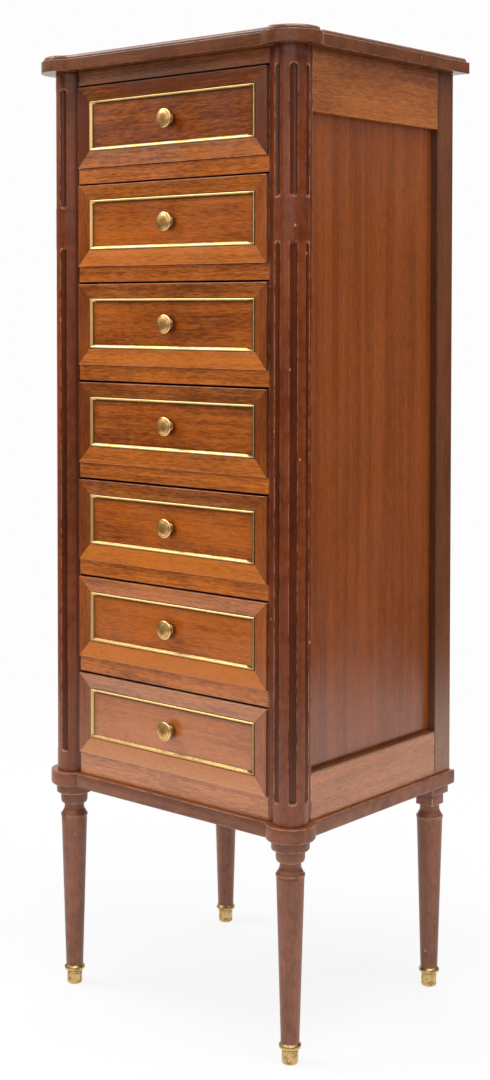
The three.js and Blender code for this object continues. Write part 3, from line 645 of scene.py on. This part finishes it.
def mark_edges(mesh, shade_and_dirt, wear):
    """Stores how sharply the surface turns at each vertex: "arris" outwards and "hollow" inwards.

    An edge's turn is the angle between its two faces over the distance between their centres. A vertex
    takes the sharpest of its edges, as a share of the turn of WORN_ROUND. Wear scales the arris, and
    the hollow is at least the given darkening, which holds painted shadows too.
    """
    normals = fetch(mesh.polygons, "normal", 3, float).reshape(-1, 3)
    centres = fetch(mesh.polygons, "center", 3, float).reshape(-1, 3)
    sizes = fetch(mesh.polygons, "loop_total", 1, int)
    edge_of = fetch(mesh.loops, "edge_index", 1, int)
    owner = np.repeat(np.arange(len(sizes)), sizes)[np.argsort(edge_of, kind="stable")]
    first, second = owner[0::2], owner[1::2]
    gap = centres[second] - centres[first]
    angle = np.arccos(np.clip((normals[first] * normals[second]).sum(1), -1, 1))
    turn = WORN_ROUND * angle / np.maximum(np.linalg.norm(gap, axis=1), LEAST_GAP)
    outwards = (gap * normals[first]).sum(1) < 0
    ends = fetch(mesh.edges, "vertices", 2, int)
    for name, chosen, scale, least in (("arris", outwards, wear, 0.0), ("hollow", ~outwards, 1.0, shade_and_dirt)):
        value = np.zeros(len(mesh.vertices))
        np.maximum.at(value, ends, np.repeat(np.where(chosen, np.clip(turn, 0, 1), 0), 2))
        value = np.maximum(value * scale, least)
        mesh.attributes.new(name, "FLOAT", "POINT").data.foreach_set("value", value)


def put(name, data):
    made = bpy.data.objects.new(name, data)
    bpy.context.scene.collection.objects.link(made)
    return made


def piece(name, shells, material, body, slot, replaced=(), tone=0.0, shade_and_dirt=0.0, wear=1.0):
    """One object from closed shells of points, corner indices and face sizes, riding on a body.

    Tone and darkening colour it, and wear scales its pale arrises. Each is one number or one per point.
    The darkening holds painted shadows, such as those of the beads and knobs on the drawer panels.
    """
    starts = np.cumsum([0] + [len(points) for points, _, _ in shells])
    points = np.concatenate([shell[0] for shell in shells])
    corners = np.concatenate([shell[1] + start for shell, start in zip(shells, starts)])
    sizes = np.concatenate([shell[2] for shell in shells])
    mesh = bpy.data.meshes.new(name)
    mesh.vertices.add(len(points))
    mesh.vertices.foreach_set("co", points.ravel())
    mesh.loops.add(len(corners))
    mesh.loops.foreach_set("vertex_index", corners.astype(np.int32))
    mesh.polygons.add(len(sizes))
    mesh.polygons.foreach_set("loop_start", (np.cumsum(sizes) - sizes).astype(np.int32))
    mesh.update(calc_edges=True)
    tidy = bmesh.new()
    tidy.from_mesh(mesh)
    bmesh.ops.recalc_face_normals(tidy, faces=tidy.faces)
    tidy.to_mesh(mesh)
    tidy.free()
    mesh.shade_smooth()
    mesh.set_sharp_from_angle(angle=SHARP_ANGLE)
    mark_edges(mesh, shade_and_dirt, wear)
    tones = np.broadcast_to(np.array(tone, float), len(points)).copy()
    mesh.attributes.new("tone", "FLOAT", "POINT").data.foreach_set("value", tones)
    mesh.materials.append(material)
    made = put(name, mesh)
    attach(made, body)
    if replaced:
        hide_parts(*replaced)
    return made


def rectangle(left, right, foot, head):
    """A rectangle's corners, from the bottom left anticlockwise. Arrays give the corners of many."""
    return [np.stack(corner, -1) for corner in ((left, foot), (right, foot), (right, head), (left, head))]


def bar(low, high, axis, ease):
    """A board with eased arrises: a rounded rectangle carried along the axis, drawn in at both ends.

    Near an end the loop shrinks by ease(1 - sin t) at a depth of ease(1 - cos t), for t from 0 to 90.
    """
    low, high = np.array([low, high], float)
    across = [(axis + 1) % 3, (axis + 2) % 3]
    middle = (low + high) / 2
    half = (high - low) / 2
    rows = []
    for end in (-1, 1):
        for turn in arc(0, 90, 3) if end < 0 else arc(90, 0, 3):
            inset = ease * (1 - math.sin(turn))
            a, b = half[across] - inset
            loop = eased(rectangle(-a, a, -b, b), max(ease - inset, BAR_CORNER_SHARE * ease), 3)
            row = np.zeros((len(loop), 3))
            row[:, across] = loop
            row[:, axis] = end * (half[axis] - ease * (1 - math.cos(turn)))
            rows.append(row + middle)
    return skin(np.array(rows))


def lathe(profile, eases, x, y, steps):
    """A turned solid: the eased profile's (radius, height) points go round the upright axis at x, y."""
    profile = eased(profile, eases, TURNED_EASE_STEPS, closed=False)
    angle = np.linspace(0, 2 * math.pi, steps, endpoint=False)
    ring = np.stack([np.cos(angle), np.sin(angle)], -1)
    grid = np.zeros((len(profile), steps, 3))
    grid[:, :, :2] = profile[:, None, :1] * ring[None] + np.array([x, y])
    grid[:, :, 2] = profile[:, 1:]
    return skin(grid)


def eared_outline(inset, radius, edge, cove, back_edge):
    """A board's outline with a round ear over each front column, counter-clockwise from the back left.

    The straight edges stand `edge` from the columns' axes. A hollow arc, whose centre and radius `cove`
    gives from the column's axis, leads from each straight edge to the ear, and they meet where the two
    circles cross.
    """
    cove_x, cove_y, cove_radius = cove
    distance = math.hypot(cove_x, cove_y)
    ear = radius - inset
    hollow = cove_radius + inset
    near = (distance ** 2 + ear ** 2 - hollow ** 2) / (2 * distance)
    away = math.sqrt(max(ear ** 2 - near ** 2, 0.0))
    meet_x = (near * cove_x - away * cove_y) / distance
    meet_y = (near * cove_y + away * cove_x) / distance
    turn = math.atan2(cove_y - meet_y, cove_x - meet_x)
    sweep = np.linspace(math.pi / 2, turn, COVE_POINTS)
    left_cove = np.stack([hollow * np.cos(sweep) - cove_x, hollow * np.sin(sweep) - cove_y], -1)
    sweep = np.linspace(math.atan2(-meet_y, -meet_x), math.atan2(meet_x, meet_y), EAR_POINTS)[1:-1]
    round_ear = ear * np.stack([np.cos(sweep), np.sin(sweep)], -1)
    corner = np.concatenate([left_cove, round_ear, -left_cove[::-1, ::-1]])
    right = corner + (axis_x, axis_y)
    left = right[::-1] * (-1, 1)
    half = axis_x + edge - inset
    rear = back_edge - inset
    return np.concatenate([[(-half, rear)], left, right, [(half, rear)]])


def eared_board(layers, **plan):
    """A moulded board: the eared outline, drawn in by each layer's inset, at each layer's height."""
    rows = []
    for inset, height in layers:
        outline = eared_outline(inset, **plan)
        rows.append(np.column_stack([outline, np.full(len(outline), height)]))
    return skin(np.array(rows))


def top_board():
    """Its edge has a flat face, a small step and a quarter round. The ears' side arrises wear most."""
    depth = math.sqrt(TOP_EAR_RADIUS ** 2 - TOP_EAR_ARRIS ** 2) - TOP_EDGE
    radius = (TOP_COVE_LENGTH ** 2 + depth ** 2) / (2 * depth)
    foot = top_low.z
    step_top = foot + TOP_FACE_HEIGHT + TOP_STEP_RISE
    corners = [(TOP_STEP, foot), (0.0, foot), (0.0, foot + TOP_FACE_HEIGHT), (TOP_STEP, step_top)]
    profile = eased(corners, TOP_EASE, closed=False)
    turn = arc(0, 90, TOP_ROUND_STEPS)[1:]
    inset = TOP_STEP + TOP_ROUND * (1 - np.cos(turn))
    height = step_top + (top_high.z - step_top) * np.sin(turn)
    layers = np.concatenate([profile, np.column_stack([inset, height])])
    cove = (TOP_EAR_ARRIS + TOP_COVE_LENGTH, TOP_EDGE + radius, radius)
    shell = eared_board(layers, radius=TOP_EAR_RADIUS, edge=TOP_EDGE, cove=cove, back_edge=top_high.y)
    wear = np.where(np.abs(shell[0][:, 1] - axis_y - TOP_EAR_ARRIS) < TOP_STEP, 1.0, TOP_WEAR)
    piece("top_board_moulded", [shell], top_wood, "carcass", "dark_mahogany", ["top_board"], wear=wear)


def base_board():
    turn = arc(0, 90, BASE_ROUND_STEPS)
    sine, cosine = np.sin(turn), np.cos(turn)
    low_round = np.column_stack([BASE_ROUND * (1 - sine), base_low.z + BASE_ROUND * (1 - cosine)])
    ease = np.column_stack([BASE_EASE * (1 - cosine), base_high.z - BASE_EASE * (1 - sine)])
    cove = (math.sqrt(BASE_EAR_RADIUS ** 2 - BASE_EDGE ** 2), BASE_EDGE, 0.0)
    layers = np.concatenate([low_round, ease])
    shell = eared_board(layers, radius=BASE_EAR_RADIUS, edge=BASE_EDGE, cove=cove, back_edge=base_high.y)
    title = "base_board_moulded"
    piece(title, [shell], base_wood, "carcass", "leg_mahogany", ["base_board"], wear=BASE_WEAR)


def column_radii(angle, height, zones):
    """The column's radius by angle, from -Y towards the outer side, and height.

    A flute is a round-ended gouge: a cylinder of radius r whose axis stands FLUTE_REACH, or R, from the
    column's. At the angle a from its middle it cuts down to R cos a - sqrt(r^2 - R^2 sin^2 a), and less
    where its ball end closes. The depth d is softened to sqrt(d^2 + s^2) - s.
    """
    depth = np.zeros((len(height), len(angle)))
    for low, high in zones:
        past = np.maximum(np.maximum(low + FLUTE_RADIUS - height, height - high + FLUTE_RADIUS), 0)
        ball = np.maximum(FLUTE_RADIUS ** 2 - past ** 2, 0)[:, None]
        for middle in FLUTE_ANGLES:
            away = angle[None] - middle
            under = ball - (FLUTE_REACH * np.sin(away)) ** 2
            cut = COLUMN_RADIUS - (FLUTE_REACH * np.cos(away) - np.sqrt(np.maximum(under, 0)))
            depth = np.maximum(depth, np.where((under > 0) & (np.abs(away) < 1), cut, 0))
    return COLUMN_RADIUS - (np.sqrt(depth ** 2 + FLUTE_SOFTNESS ** 2) - FLUTE_SOFTNESS)


def front_posts():
    """Square posts whose outer corner is a fluted column: the outline is carried up the post.

    The flutes are darker, and so is the left post beside the drawers.
    """
    foot, head = post_low.z, post_high.z
    upper = (head - FLUTE_HEAD - UPPER_FLUTE_LENGTH, head - FLUTE_HEAD)
    zones = [(foot + FLUTE_FOOT, upper[0] - FLUTE_BREAK), upper]
    rise = FLUTE_RADIUS * (1 - np.cos(arc(0, 90, FLUTE_END_STEPS)))
    ends = [low + rise for low, _ in zones] + [high - rise for _, high in zones]
    height = np.unique(np.concatenate([[foot, head], *ends]))
    front_inset = axis_y - front
    side_inset = side_plane - axis_x
    first = math.atan2(-math.sqrt(COLUMN_RADIUS ** 2 - front_inset ** 2), front_inset)
    last = math.atan2(side_inset, -math.sqrt(COLUMN_RADIUS ** 2 - side_inset ** 2))
    cosine = COLUMN_RADIUS ** 2 + FLUTE_REACH ** 2 - FLUTE_RADIUS ** 2
    half = math.acos(cosine / (2 * COLUMN_RADIUS * FLUTE_REACH))
    lobe = half * np.sin(arc(-90, 90, FLUTE_STEPS))
    margin = FLUTE_MARGIN_SHARE * half
    pairs = zip(FLUTE_ANGLES[:-1], FLUTE_ANGLES[1:])
    lands = [np.linspace(a + margin, b - margin, LAND_POINTS) for a, b in pairs]
    lands.append(np.linspace(first, FLUTE_ANGLES[0] - margin, LAST_LAND_POINTS))
    lands.append(np.linspace(FLUTE_ANGLES[-1] + margin, last, LAST_LAND_POINTS))
    angle = np.unique(np.concatenate([*lands, *[middle + lobe for middle in FLUTE_ANGLES]]))
    radius = column_radii(angle, height, zones)
    sunk = (COLUMN_RADIUS - radius) / FLUTE_DEPTH
    arm = np.stack([radius * np.sin(angle), -radius * np.cos(angle)], -1) + (axis_x, axis_y)
    corners = [(side_plane, axis_y), (side_plane, post_back), (opening, post_back), (opening, front)]
    square = eased([*corners, (axis_x, front)], POST_EASE, closed=False)[1:-1]
    sunk = np.pad(sunk, ((0, 0), (0, len(square))))
    band = (height >= zones[0][1]) & (height <= zones[1][0])
    tone = FLUTE_TONE * sunk + BAND_TONE * band[:, None]
    beside = np.zeros(sunk.shape[1])
    beside[:len(POST_DARKENING_SHARES)] = POST_DARKENING_SHARES
    beside[-POST_DARKENING_POINTS:] = 1.0
    square = np.broadcast_to(square, (len(height), *square.shape))
    outline = np.concatenate([arm, square], 1)
    level = np.broadcast_to(height[:, None, None], (*outline.shape[:2], 1))
    grid = np.concatenate([outline, level], -1)
    for word, hand in SIDES.items():
        shade_and_dirt = FLUTE_DARKENING * sunk
        if word == "left":
            shade_and_dirt = np.maximum(shade_and_dirt, POST_DARKENING * beside)
        shells = [skin(grid * (hand, 1, 1))]
        looks = {"tone": tone.ravel(), "shade_and_dirt": shade_and_dirt.ravel()}
        node = "post_front_" + word
        piece("fluted_post_" + word, shells, column_wood, "carcass", "dark_mahogany", [node], **looks)


def legs():
    """Turned legs. The front ones have a round head, and the back ones a head of two square blocks."""
    for corner in CORNERS:
        x, y = centre("leg_" + corner).xy
        head = base_low.z
        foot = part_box("shoe_" + corner)[1].z
        disc = head - DISC_HEIGHT
        ring = disc - RING_HEIGHT
        neck = ring - NECK_HEIGHT
        flare = neck - FLARE_HEIGHT
        shaft = flare - LEG_BEAD_HEIGHT
        profile = [
            (LEG_TIP, foot - LEG_PEG_LENGTH), (SHOE_BORE, foot - LEG_PEG_LENGTH), (SHOE_BORE, foot),
            (LEG_FOOT_RADIUS, foot), (LEG_TOP_RADIUS, shaft - LEG_TOP_DROP),
            (LEG_TOP_RADIUS - LEG_TOP_DRAW, shaft), (FLARE_RADIUS, shaft), (FLARE_RADIUS, flare),
            (FLARE_RADIUS - FLARE_LIP, flare), (FLARE_RADIUS - FLARE_DRAW, flare + FLARE_RISE),
            (NECK_RADIUS + NECK_SWELL, neck - NECK_DROP), (NECK_RADIUS, neck), (NECK_RADIUS, ring),
        ]
        head -= LEG_HEAD_GAP
        if corner.startswith("front"):
            profile += [
                (RING_RADIUS - RING_DRAW, ring), (RING_RADIUS, ring + RING_RISE), (RING_RADIUS, disc),
                (DISC_RADIUS, disc), (DISC_RADIUS, head), (LEG_TIP, head),
            ]
            shells = [lathe(profile, LEG_EASES + ROUND_HEAD_EASES, x, y, LEG_STEPS)]
        else:
            profile += [(NECK_RADIUS, ring + BACK_PEG_RISE), (LEG_TIP, ring + BACK_PEG_RISE)]
            shells = [lathe(profile, LEG_EASES + (0, 0), x, y, LEG_STEPS)]
            for side, low, high in ((BACK_RING_SIDE, ring, disc), (BACK_DISC_SIDE, disc, head)):
                half = side / 2
                shells.append(bar((x - half, y - half, low), (x + half, y + half, high), 2, BACK_HEAD_EASE))
        piece("turned_leg_" + corner, shells, leg_wood, "carcass", "leg_mahogany", ["leg_" + corner])


def shoes():
    """Cast brass shoes: a plain tapered cup under a rounded collar."""
    for corner in CORNERS:
        low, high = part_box("shoe_" + corner)
        x, y = centre("shoe_" + corner).xy
        tall = high.z - low.z
        floor = low.z + SHOE_FLOOR_SHARE * tall
        cup = [(across * SHOE_FOOT_RADIUS, low.z + up * tall) for across, up in SHOE_FOOT_SHARES]
        collar = [(across * SHOE_COLLAR_RADIUS, low.z + up * tall) for across, up in SHOE_COLLAR_SHARES]
        bore = [(SHOE_BORE, high.z), (SHOE_BORE, floor), (SHOE_TIP, floor)]
        shell = lathe([(SHOE_TIP, low.z), *cup, *collar, *bore], SHOE_EASES, x, y, SHOE_STEPS)
        piece("brass_shoe_" + corner, [shell], shoe_brass, "carcass", "aged_brass", ["shoe_" + corner])


def drawer_frames(number, half, foot, head):
    """Four mitred mouldings on a drawer's face board.

    A section across each moulding is placed on the line from its outer edge to its inner edge, at both
    mitres, so that neighbours meet on a slanted joint.
    """
    inner_half = half - FRAME_SIDE
    inner_foot = foot + FRAME_FOOT
    inner_head = head - FRAME_HEAD
    outer = rectangle(-half, half, foot, head)
    well = rectangle(-inner_half, inner_half, inner_foot, inner_head)
    proud = front - FRAME_PROUD
    fall = proud + FRAME_FALL
    widths = {"bottom": FRAME_FOOT, "right": FRAME_SIDE, "top": FRAME_HEAD, "left": FRAME_SIDE}
    for i, (name, width) in enumerate(widths.items()):
        corners = [(0, front), (0, proud), (FRAME_LAND, proud), (width, fall), (width, front)]
        section = eased(corners, FRAME_EASES, closed=False)
        share = section[:, :1] / width
        rows = []
        for a, b in ((i, (i + 1) % 4), ((i + 1) % 4, i)):
            edge = (1 - share) * outer[a] + share * well[a]
            onward = outer[b] - outer[a]
            edge += onward / np.linalg.norm(onward) * MITRE_GAP
            rows.append(np.column_stack([edge[:, 0], section[:, 1], edge[:, 1]]))
        material = moulding_wood if i % 2 == 0 else warm_upright
        # Drawer tone plus each member's painted light and shade, and its pale arrises
        looks = {"tone": DRAWER_WOOD_AND_LIGHT_TONES[number - 1] + FRAME_LIGHT_TONES[name], "wear": FRAME_WEAR_AND_HIGHLIGHT[name]}
        title = "drawer_%d_frame_%s" % (number, name)
        piece(title, [skin(np.array(rows))], material, "drawer_%d" % number, "mahogany", **looks)
    return inner_half, inner_foot, inner_head


def bead(number, half, foot, head):
    """A brass strip round the panel: a rounded crown that slopes to low lips, carried round a rectangle.

    Its crown wavers a little, as sums of sines. Its patina is thicker towards the lips and differs by side,
    which also paints light and shade: the left strip lighter, the right and top strips darker, most at
    their lips.
    """
    seat = front - BEAD_SEAT
    crown = front - BEAD_PROUD
    corners = [
        (0, seat), (0, front - BEAD_LIP), (BEAD_CROWN_PLACE, crown - BEAD_CROWN_CUT),
        (BEAD_SLOPE_SHARE * BEAD_WIDTH, front - BEAD_LIP), (BEAD_WIDTH, seat),
    ]
    section = eased(corners, BEAD_EASES, BEAD_EASE_STEPS, closed=False)
    drawn = BEAD_CLEARANCE + section[:, 0]
    loop = rectangle(-half + drawn, half - drawn, foot + drawn, head - drawn)
    share = np.arange(BEAD_STEPS)[:, None, None] / BEAD_STEPS
    path = np.concatenate([(1 - share) * loop[i] + share * loop[(i + 1) % 4] for i in range(4)])
    grid = np.stack([path[..., 0], np.broadcast_to(section[:, 1], path.shape[:2]), path[..., 1]], -1)
    travel = np.arange(4 * BEAD_STEPS)[:, None]
    waver = sum(np.sin(turn * travel + start * number) for turn, start in BEAD_WAVES)
    raised = np.clip((seat - section[:, 1]) / (seat - crown), 0, 1)
    grid[..., 1] += BEAD_WAVER * waver * raised
    # Patina towards the lips and by side: partly real patina, partly painted light and shade
    edge = np.repeat(BEAD_EDGE_PATINA_AND_SHADE, BEAD_STEPS)[:, None] * (1 - raised) ** 2
    tones = (np.repeat(BEAD_SIDE_PATINA_AND_LIGHT, BEAD_STEPS)[:, None] + edge).ravel()
    body = "drawer_%d" % number
    piece(body + "_bead", [skin(grid, ring=True)], bead_brass, body, "bead_brass", [body + "_trim"], tones)


def knob(number):
    """A turned brass knob: rose, waist, flared mushroom head with a rim and a slightly domed face."""
    body = "drawer_%d" % number
    node = body + "_knob"
    middle = centre(node)
    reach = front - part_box(node)[0].y
    profile = [
        (KNOB_TIP, -KNOB_STEM_LENGTH), (KNOB_STEM_RADIUS, -KNOB_STEM_LENGTH),
        (KNOB_STEM_RADIUS, KNOB_SEAT), (KNOB_ROSE_SHARE * KNOB_RADIUS, KNOB_SEAT),
    ]
    profile += [(across * KNOB_RADIUS, out * reach) for across, out in KNOB_SHARES]
    points, corners, sizes = lathe([*profile, (KNOB_TIP, reach)], KNOB_EASES, 0, 0, KNOB_STEPS)
    turned = np.column_stack([points[:, 0] + middle.x, front - points[:, 2], points[:, 1] + middle.z])
    off_axis = np.hypot(points[:, 0], points[:, 1])
    tone = KNOB_TONE * np.exp(-(off_axis / KNOB_PATCH) ** 2)
    tone = np.where(points[:, 2] < KNOB_NECK_SHARE * reach, KNOB_TONE, tone)
    piece(body + "_pull", [(turned, corners, sizes)], aged_brass, body, "aged_brass", [node], tone)


def drawer_box(number):
    """The drawer's two sides, its back and its bottom, as separate boards inside the CAD box."""
    body = "drawer_%d" % number
    node = body + "_box"
    low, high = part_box(node)
    left, right, rear = low.x + BOX_WALL, high.x - BOX_WALL, high.y - BOX_WALL
    floor = low.z + BOX_BOTTOM_RAISE
    boards = {
        "side_left": (low, (left, high.y, high.z), 1),
        "side_right": ((right, low.y, low.z), high, 1),
        "back": ((left, rear, floor), (right, high.y, high.z - BOX_BACK_DROP), 0),
        "bottom": ((left, low.y, floor), (right, rear, floor + BOX_BOTTOM_THICKNESS), 0),
    }
    for name, (start, end, axis) in boards.items():
        replaced = [node] if name == "side_left" else []
        shell = bar(start, end, axis, BOX_EASE)
        piece("%s_%s" % (body, name), [shell], inner[axis], body, "inner_wood", replaced)


def face_board(number, low, high, half, foot, head):
    """The drawer's face board: rectangles carried from its back, round its rim and in over the panel.

    Painted shadow of the bead lies along it on the panel. At a distance d from each side of the panel it is
    that side's share times exp(-d / reach), and the greatest of the four counts. Circles round the knob
    hold its painted shadow at its foot, mostly below it and to the right.
    """
    body = "drawer_%d" % number
    back = front + FACE_THICKNESS
    outer = np.array([low.x, high.x, low.z, high.z])
    panel = np.array([-half, half, foot, head])
    inwards = np.array([1, -1, 1, -1])
    flat = outer + FACE_EASE * inwards
    rows = [(flat, back), (outer, back - FACE_EASE), (outer, front + FACE_EASE), (flat, front)]
    rows += [(panel + inset * inwards, front) for inset in PANEL_INSETS]
    share = np.array(PANEL_SIDE_SHARES)[:, None]
    grid = []
    for sides, y in rows:
        turns = rectangle(*sides)
        path = np.concatenate([(1 - share) * turns[i] + share * turns[(i + 1) % 4] for i in range(4)])
        grid.append(np.column_stack([path[:, 0], np.full(len(path), y), path[:, 1]]))
    middle = centre(body + "_knob")
    outwards = grid[-1] - (middle.x, front, middle.z)
    outwards /= np.linalg.norm(outwards, axis=1)[:, None]
    # Rings that hold the knob's painted shadow, shifted down and to the right
    for radius in KNOB_SHADE_RADII:
        shift = KNOB_SHADE_SHIFT * (radius > KNOB_SHADE_RADII[-1])
        grid.append(outwards * radius + (middle.x + shift, front, middle.z - shift))
    grid = np.array(grid)
    x, z = grid[..., 0], grid[..., 2]
    # Painted shadow of the bead on the panel, strongest along its left and top
    distance = np.stack([x + half, half - x, z - foot, head - z], -1)
    shade_and_dirt = (PANEL_BEAD_SHADOW * np.exp(-np.maximum(distance, 0) / PANEL_BEAD_SHADOW_REACH)).max(-1)
    shade_and_dirt[-len(KNOB_SHADE_RADII):] = np.array(KNOB_SHADOW_DARKNESS)[:, None]
    looks = {"tone": DRAWER_WOOD_AND_LIGHT_TONES[number - 1], "shade_and_dirt": shade_and_dirt.ravel()}
    piece(body + "_face", [skin(grid)], warm, body, "mahogany", [body + "_front"], **looks)


def drawers():
    for number in DRAWERS:
        low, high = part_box("drawer_%d_front" % number)
        half, foot, head = drawer_frames(number, high.x, low.z, high.z)
        bead(number, half, foot, head)
        face_board(number, low, high, half - BEAD_WIDTH, foot + BEAD_WIDTH, head - BEAD_WIDTH)
        knob(number)
        drawer_box(number)


# CAD pieces that keep their shape

def finish_node(name, material, worn=None, ease=0.0):
    """Gives a CAD node its material, and rounds its arrises with a second one where they wear."""
    kept = nodes[name]
    kept.data.materials.clear()
    kept.data.materials.append(material)
    if not ease:
        return
    weld = kept.modifiers.new("weld", "WELD")
    weld.merge_threshold = WELD_DISTANCE
    bevel = kept.modifiers.new("ease", "BEVEL")
    bevel.width = ease
    bevel.segments = 2
    bevel.limit_method = "ANGLE"
    bevel.angle_limit = EASE_ANGLE
    if worn:
        kept.data.materials.append(worn)
        bevel.material = 1


def case_boards():
    finish_node("front_rail_top", shaded_head_rail_wood, ease=RAIL_EASE)
    finish_node("front_rail_bottom", lit_rail_wood, ease=RAIL_EASE)
    for number in DRAWERS[:-1]:
        finish_node("drawer_rail_%d" % number, lit_rail_wood, ease=RAIL_EASE)
    for word in SIDES:
        for level, ease in SIDE_RAIL_EASES.items():
            finish_node("side_rail_%s_%s" % (level, word), side_wood, side_worn, ease)
        finish_node("post_back_" + word, post_wood, post_worn, BACK_POST_EASE)
        finish_node("side_panel_" + word, ribboned)
        finish_node("runner_frame_" + word, inner[1], ease=RUNNER_EASE)
    finish_node("back_panel", inner[2])


# Studio

def staged(name, points, faces, material):
    mesh = bpy.data.meshes.new(name)
    mesh.from_pydata(points, [], faces)
    mesh.materials.append(material)
    made = put(name, mesh)
    return made


def seen_rays(tree):
    """1 for rays from the camera, and for rays by way of gloss or glass."""
    path = add(tree, "LightPath")
    seen = maths(tree, "MAXIMUM", path.outputs["Is Camera Ray"], path.outputs["Is Glossy Ray"])
    return maths(tree, "MAXIMUM", seen, path.outputs["Is Transmission Ray"])


def curtain_cloth():
    """A dim glow, which turns light towards the curtain's head and in its windows.

    A window is full round its middle azimuth and fades out, by the cosine, at its half width.
    """
    material = bpy.data.materials.new("curtain_cloth")
    tree = emptied(material)
    place = add(tree, "SeparateXYZ", _0=add(tree, "TexCoord").outputs["Object"])
    x, y, height = place.outputs
    strength = spread(tree, height, CURTAIN_FADE, CURTAIN_HEIGHT, CURTAIN_DARK, CURTAIN_LIGHT)
    for azimuth, half_width, low, high, dim, bright in WINDOWS:
        a = math.radians(azimuth)
        sideways = times(tree, x, math.sin(a) / CURTAIN_RADIUS)
        cosine = minus(tree, sideways, times(tree, y, math.cos(a) / CURTAIN_RADIUS))
        rim = math.cos(math.radians(half_width))
        inside = spread(tree, cosine, rim, rim + WINDOW_CORE_SHARE * (1 - rim))
        glow = times(tree, inside, spread(tree, height, low, high, dim, bright))
        strength = maths(tree, "MAXIMUM", strength, glow)
    glow = add(tree, "Emission", Color=CURTAIN_COLOUR, Strength=strength)
    add(tree, "OutputMaterial", Surface=glow.outputs[0])
    return material


def floor_white():
    """White glow mixed with shaded white for the rays that see the floor, and all glow far out."""
    material, tree, surface = shader("white_floor")
    surface.inputs["Base Color"].default_value = FLOOR_GREY
    surface.inputs["Roughness"].default_value = FLOOR_ROUGHNESS
    surface.inputs["Specular IOR Level"].default_value = 0.0
    glow = add(tree, "Emission", Color=WHITE, Strength=FLOOR_WHITE)
    place = add(tree, "TexCoord").outputs["Object"]
    distance = add(tree, "VectorMath", {"operation": "LENGTH"}, _0=place).outputs["Value"]
    share = spread(tree, distance, *FLOOR_SHADE_LIMITS, 1 - FLOOR_SHADE_SHARE, 1.0)
    share = times(tree, share, seen_rays(tree))
    mix = add(tree, "MixShader", _0=share, _1=surface.outputs[0], _2=glow.outputs[0])
    tree.links.new(mix.outputs[0], tree.nodes["Material Output"].inputs[0])
    return material


def studio():
    """A white background and floor, and a dark curtain that only reflections show."""
    world = bpy.data.worlds.new("studio")
    bpy.context.scene.world = world
    tree = emptied(world)
    light = add(tree, "Background", Color=WHITE, Strength=WORLD_LIGHT)
    white = add(tree, "Background", Color=WHITE, Strength=FLOOR_WHITE)
    mix = add(tree, "MixShader", _0=seen_rays(tree), _1=light.outputs[0], _2=white.outputs[0])
    add(tree, "OutputWorld", Surface=mix.outputs[0])

    half = FLOOR_HALF
    corners = [(-half, -half, 0), (half, -half, 0), (half, half, 0), (-half, half, 0)]
    staged("floor", corners, [(0, 1, 2, 3)], floor_white())

    azimuth = np.radians(np.linspace(*CURTAIN_AZIMUTHS, CURTAIN_POINTS))
    line = CURTAIN_RADIUS * np.column_stack([np.sin(azimuth), -np.cos(azimuth)])
    low = np.column_stack([line, np.zeros(len(line))])
    high = np.column_stack([line, np.full(len(line), CURTAIN_HEIGHT)])
    count = len(line)
    faces = [(i, i + 1, count + i + 1, count + i) for i in range(count - 1)]
    curtain = staged("curtain", np.concatenate([low, high]).tolist(), faces, curtain_cloth())
    for rays in ("camera", "diffuse", "shadow", "transmission"):
        setattr(curtain, "visible_" + rays, False)


def lamps():
    """Soft square lamps that face LAMP_TARGET."""
    for name, (azimuth, elevation, distance, size, watts) in LAMPS.items():
        a, e = math.radians(azimuth), math.radians(elevation)
        away = np.array([math.sin(a) * math.cos(e), -math.cos(a) * math.cos(e), math.sin(e)])
        lamp = bpy.data.lights.new(name, "AREA")
        lamp.shape = "SQUARE"
        lamp.size = size
        lamp.energy = watts
        made = put(name, lamp)
        made.location = away * distance + LAMP_TARGET
        made.rotation_euler = (math.pi / 2 - e, 0.0, a)
        made.visible_camera = False


def camera():
    lens = bpy.data.cameras.new("camera")
    lens.lens = CAMERA_LENS
    lens.shift_y = CAMERA_SHIFT
    lens.clip_end = CAMERA_REACH
    made = put("camera", lens)
    made.location = CAMERA_PLACE
    made.rotation_euler = np.radians((90 - CAMERA_TILT, CAMERA_ROLL, CAMERA_AZIMUTH))
    bpy.context.scene.camera = made


camera()
studio()
lamps()
top_board()
base_board()
front_posts()
legs()
shoes()
drawers()
case_boards()

bpy.context.scene.view_settings.view_transform = "Standard"
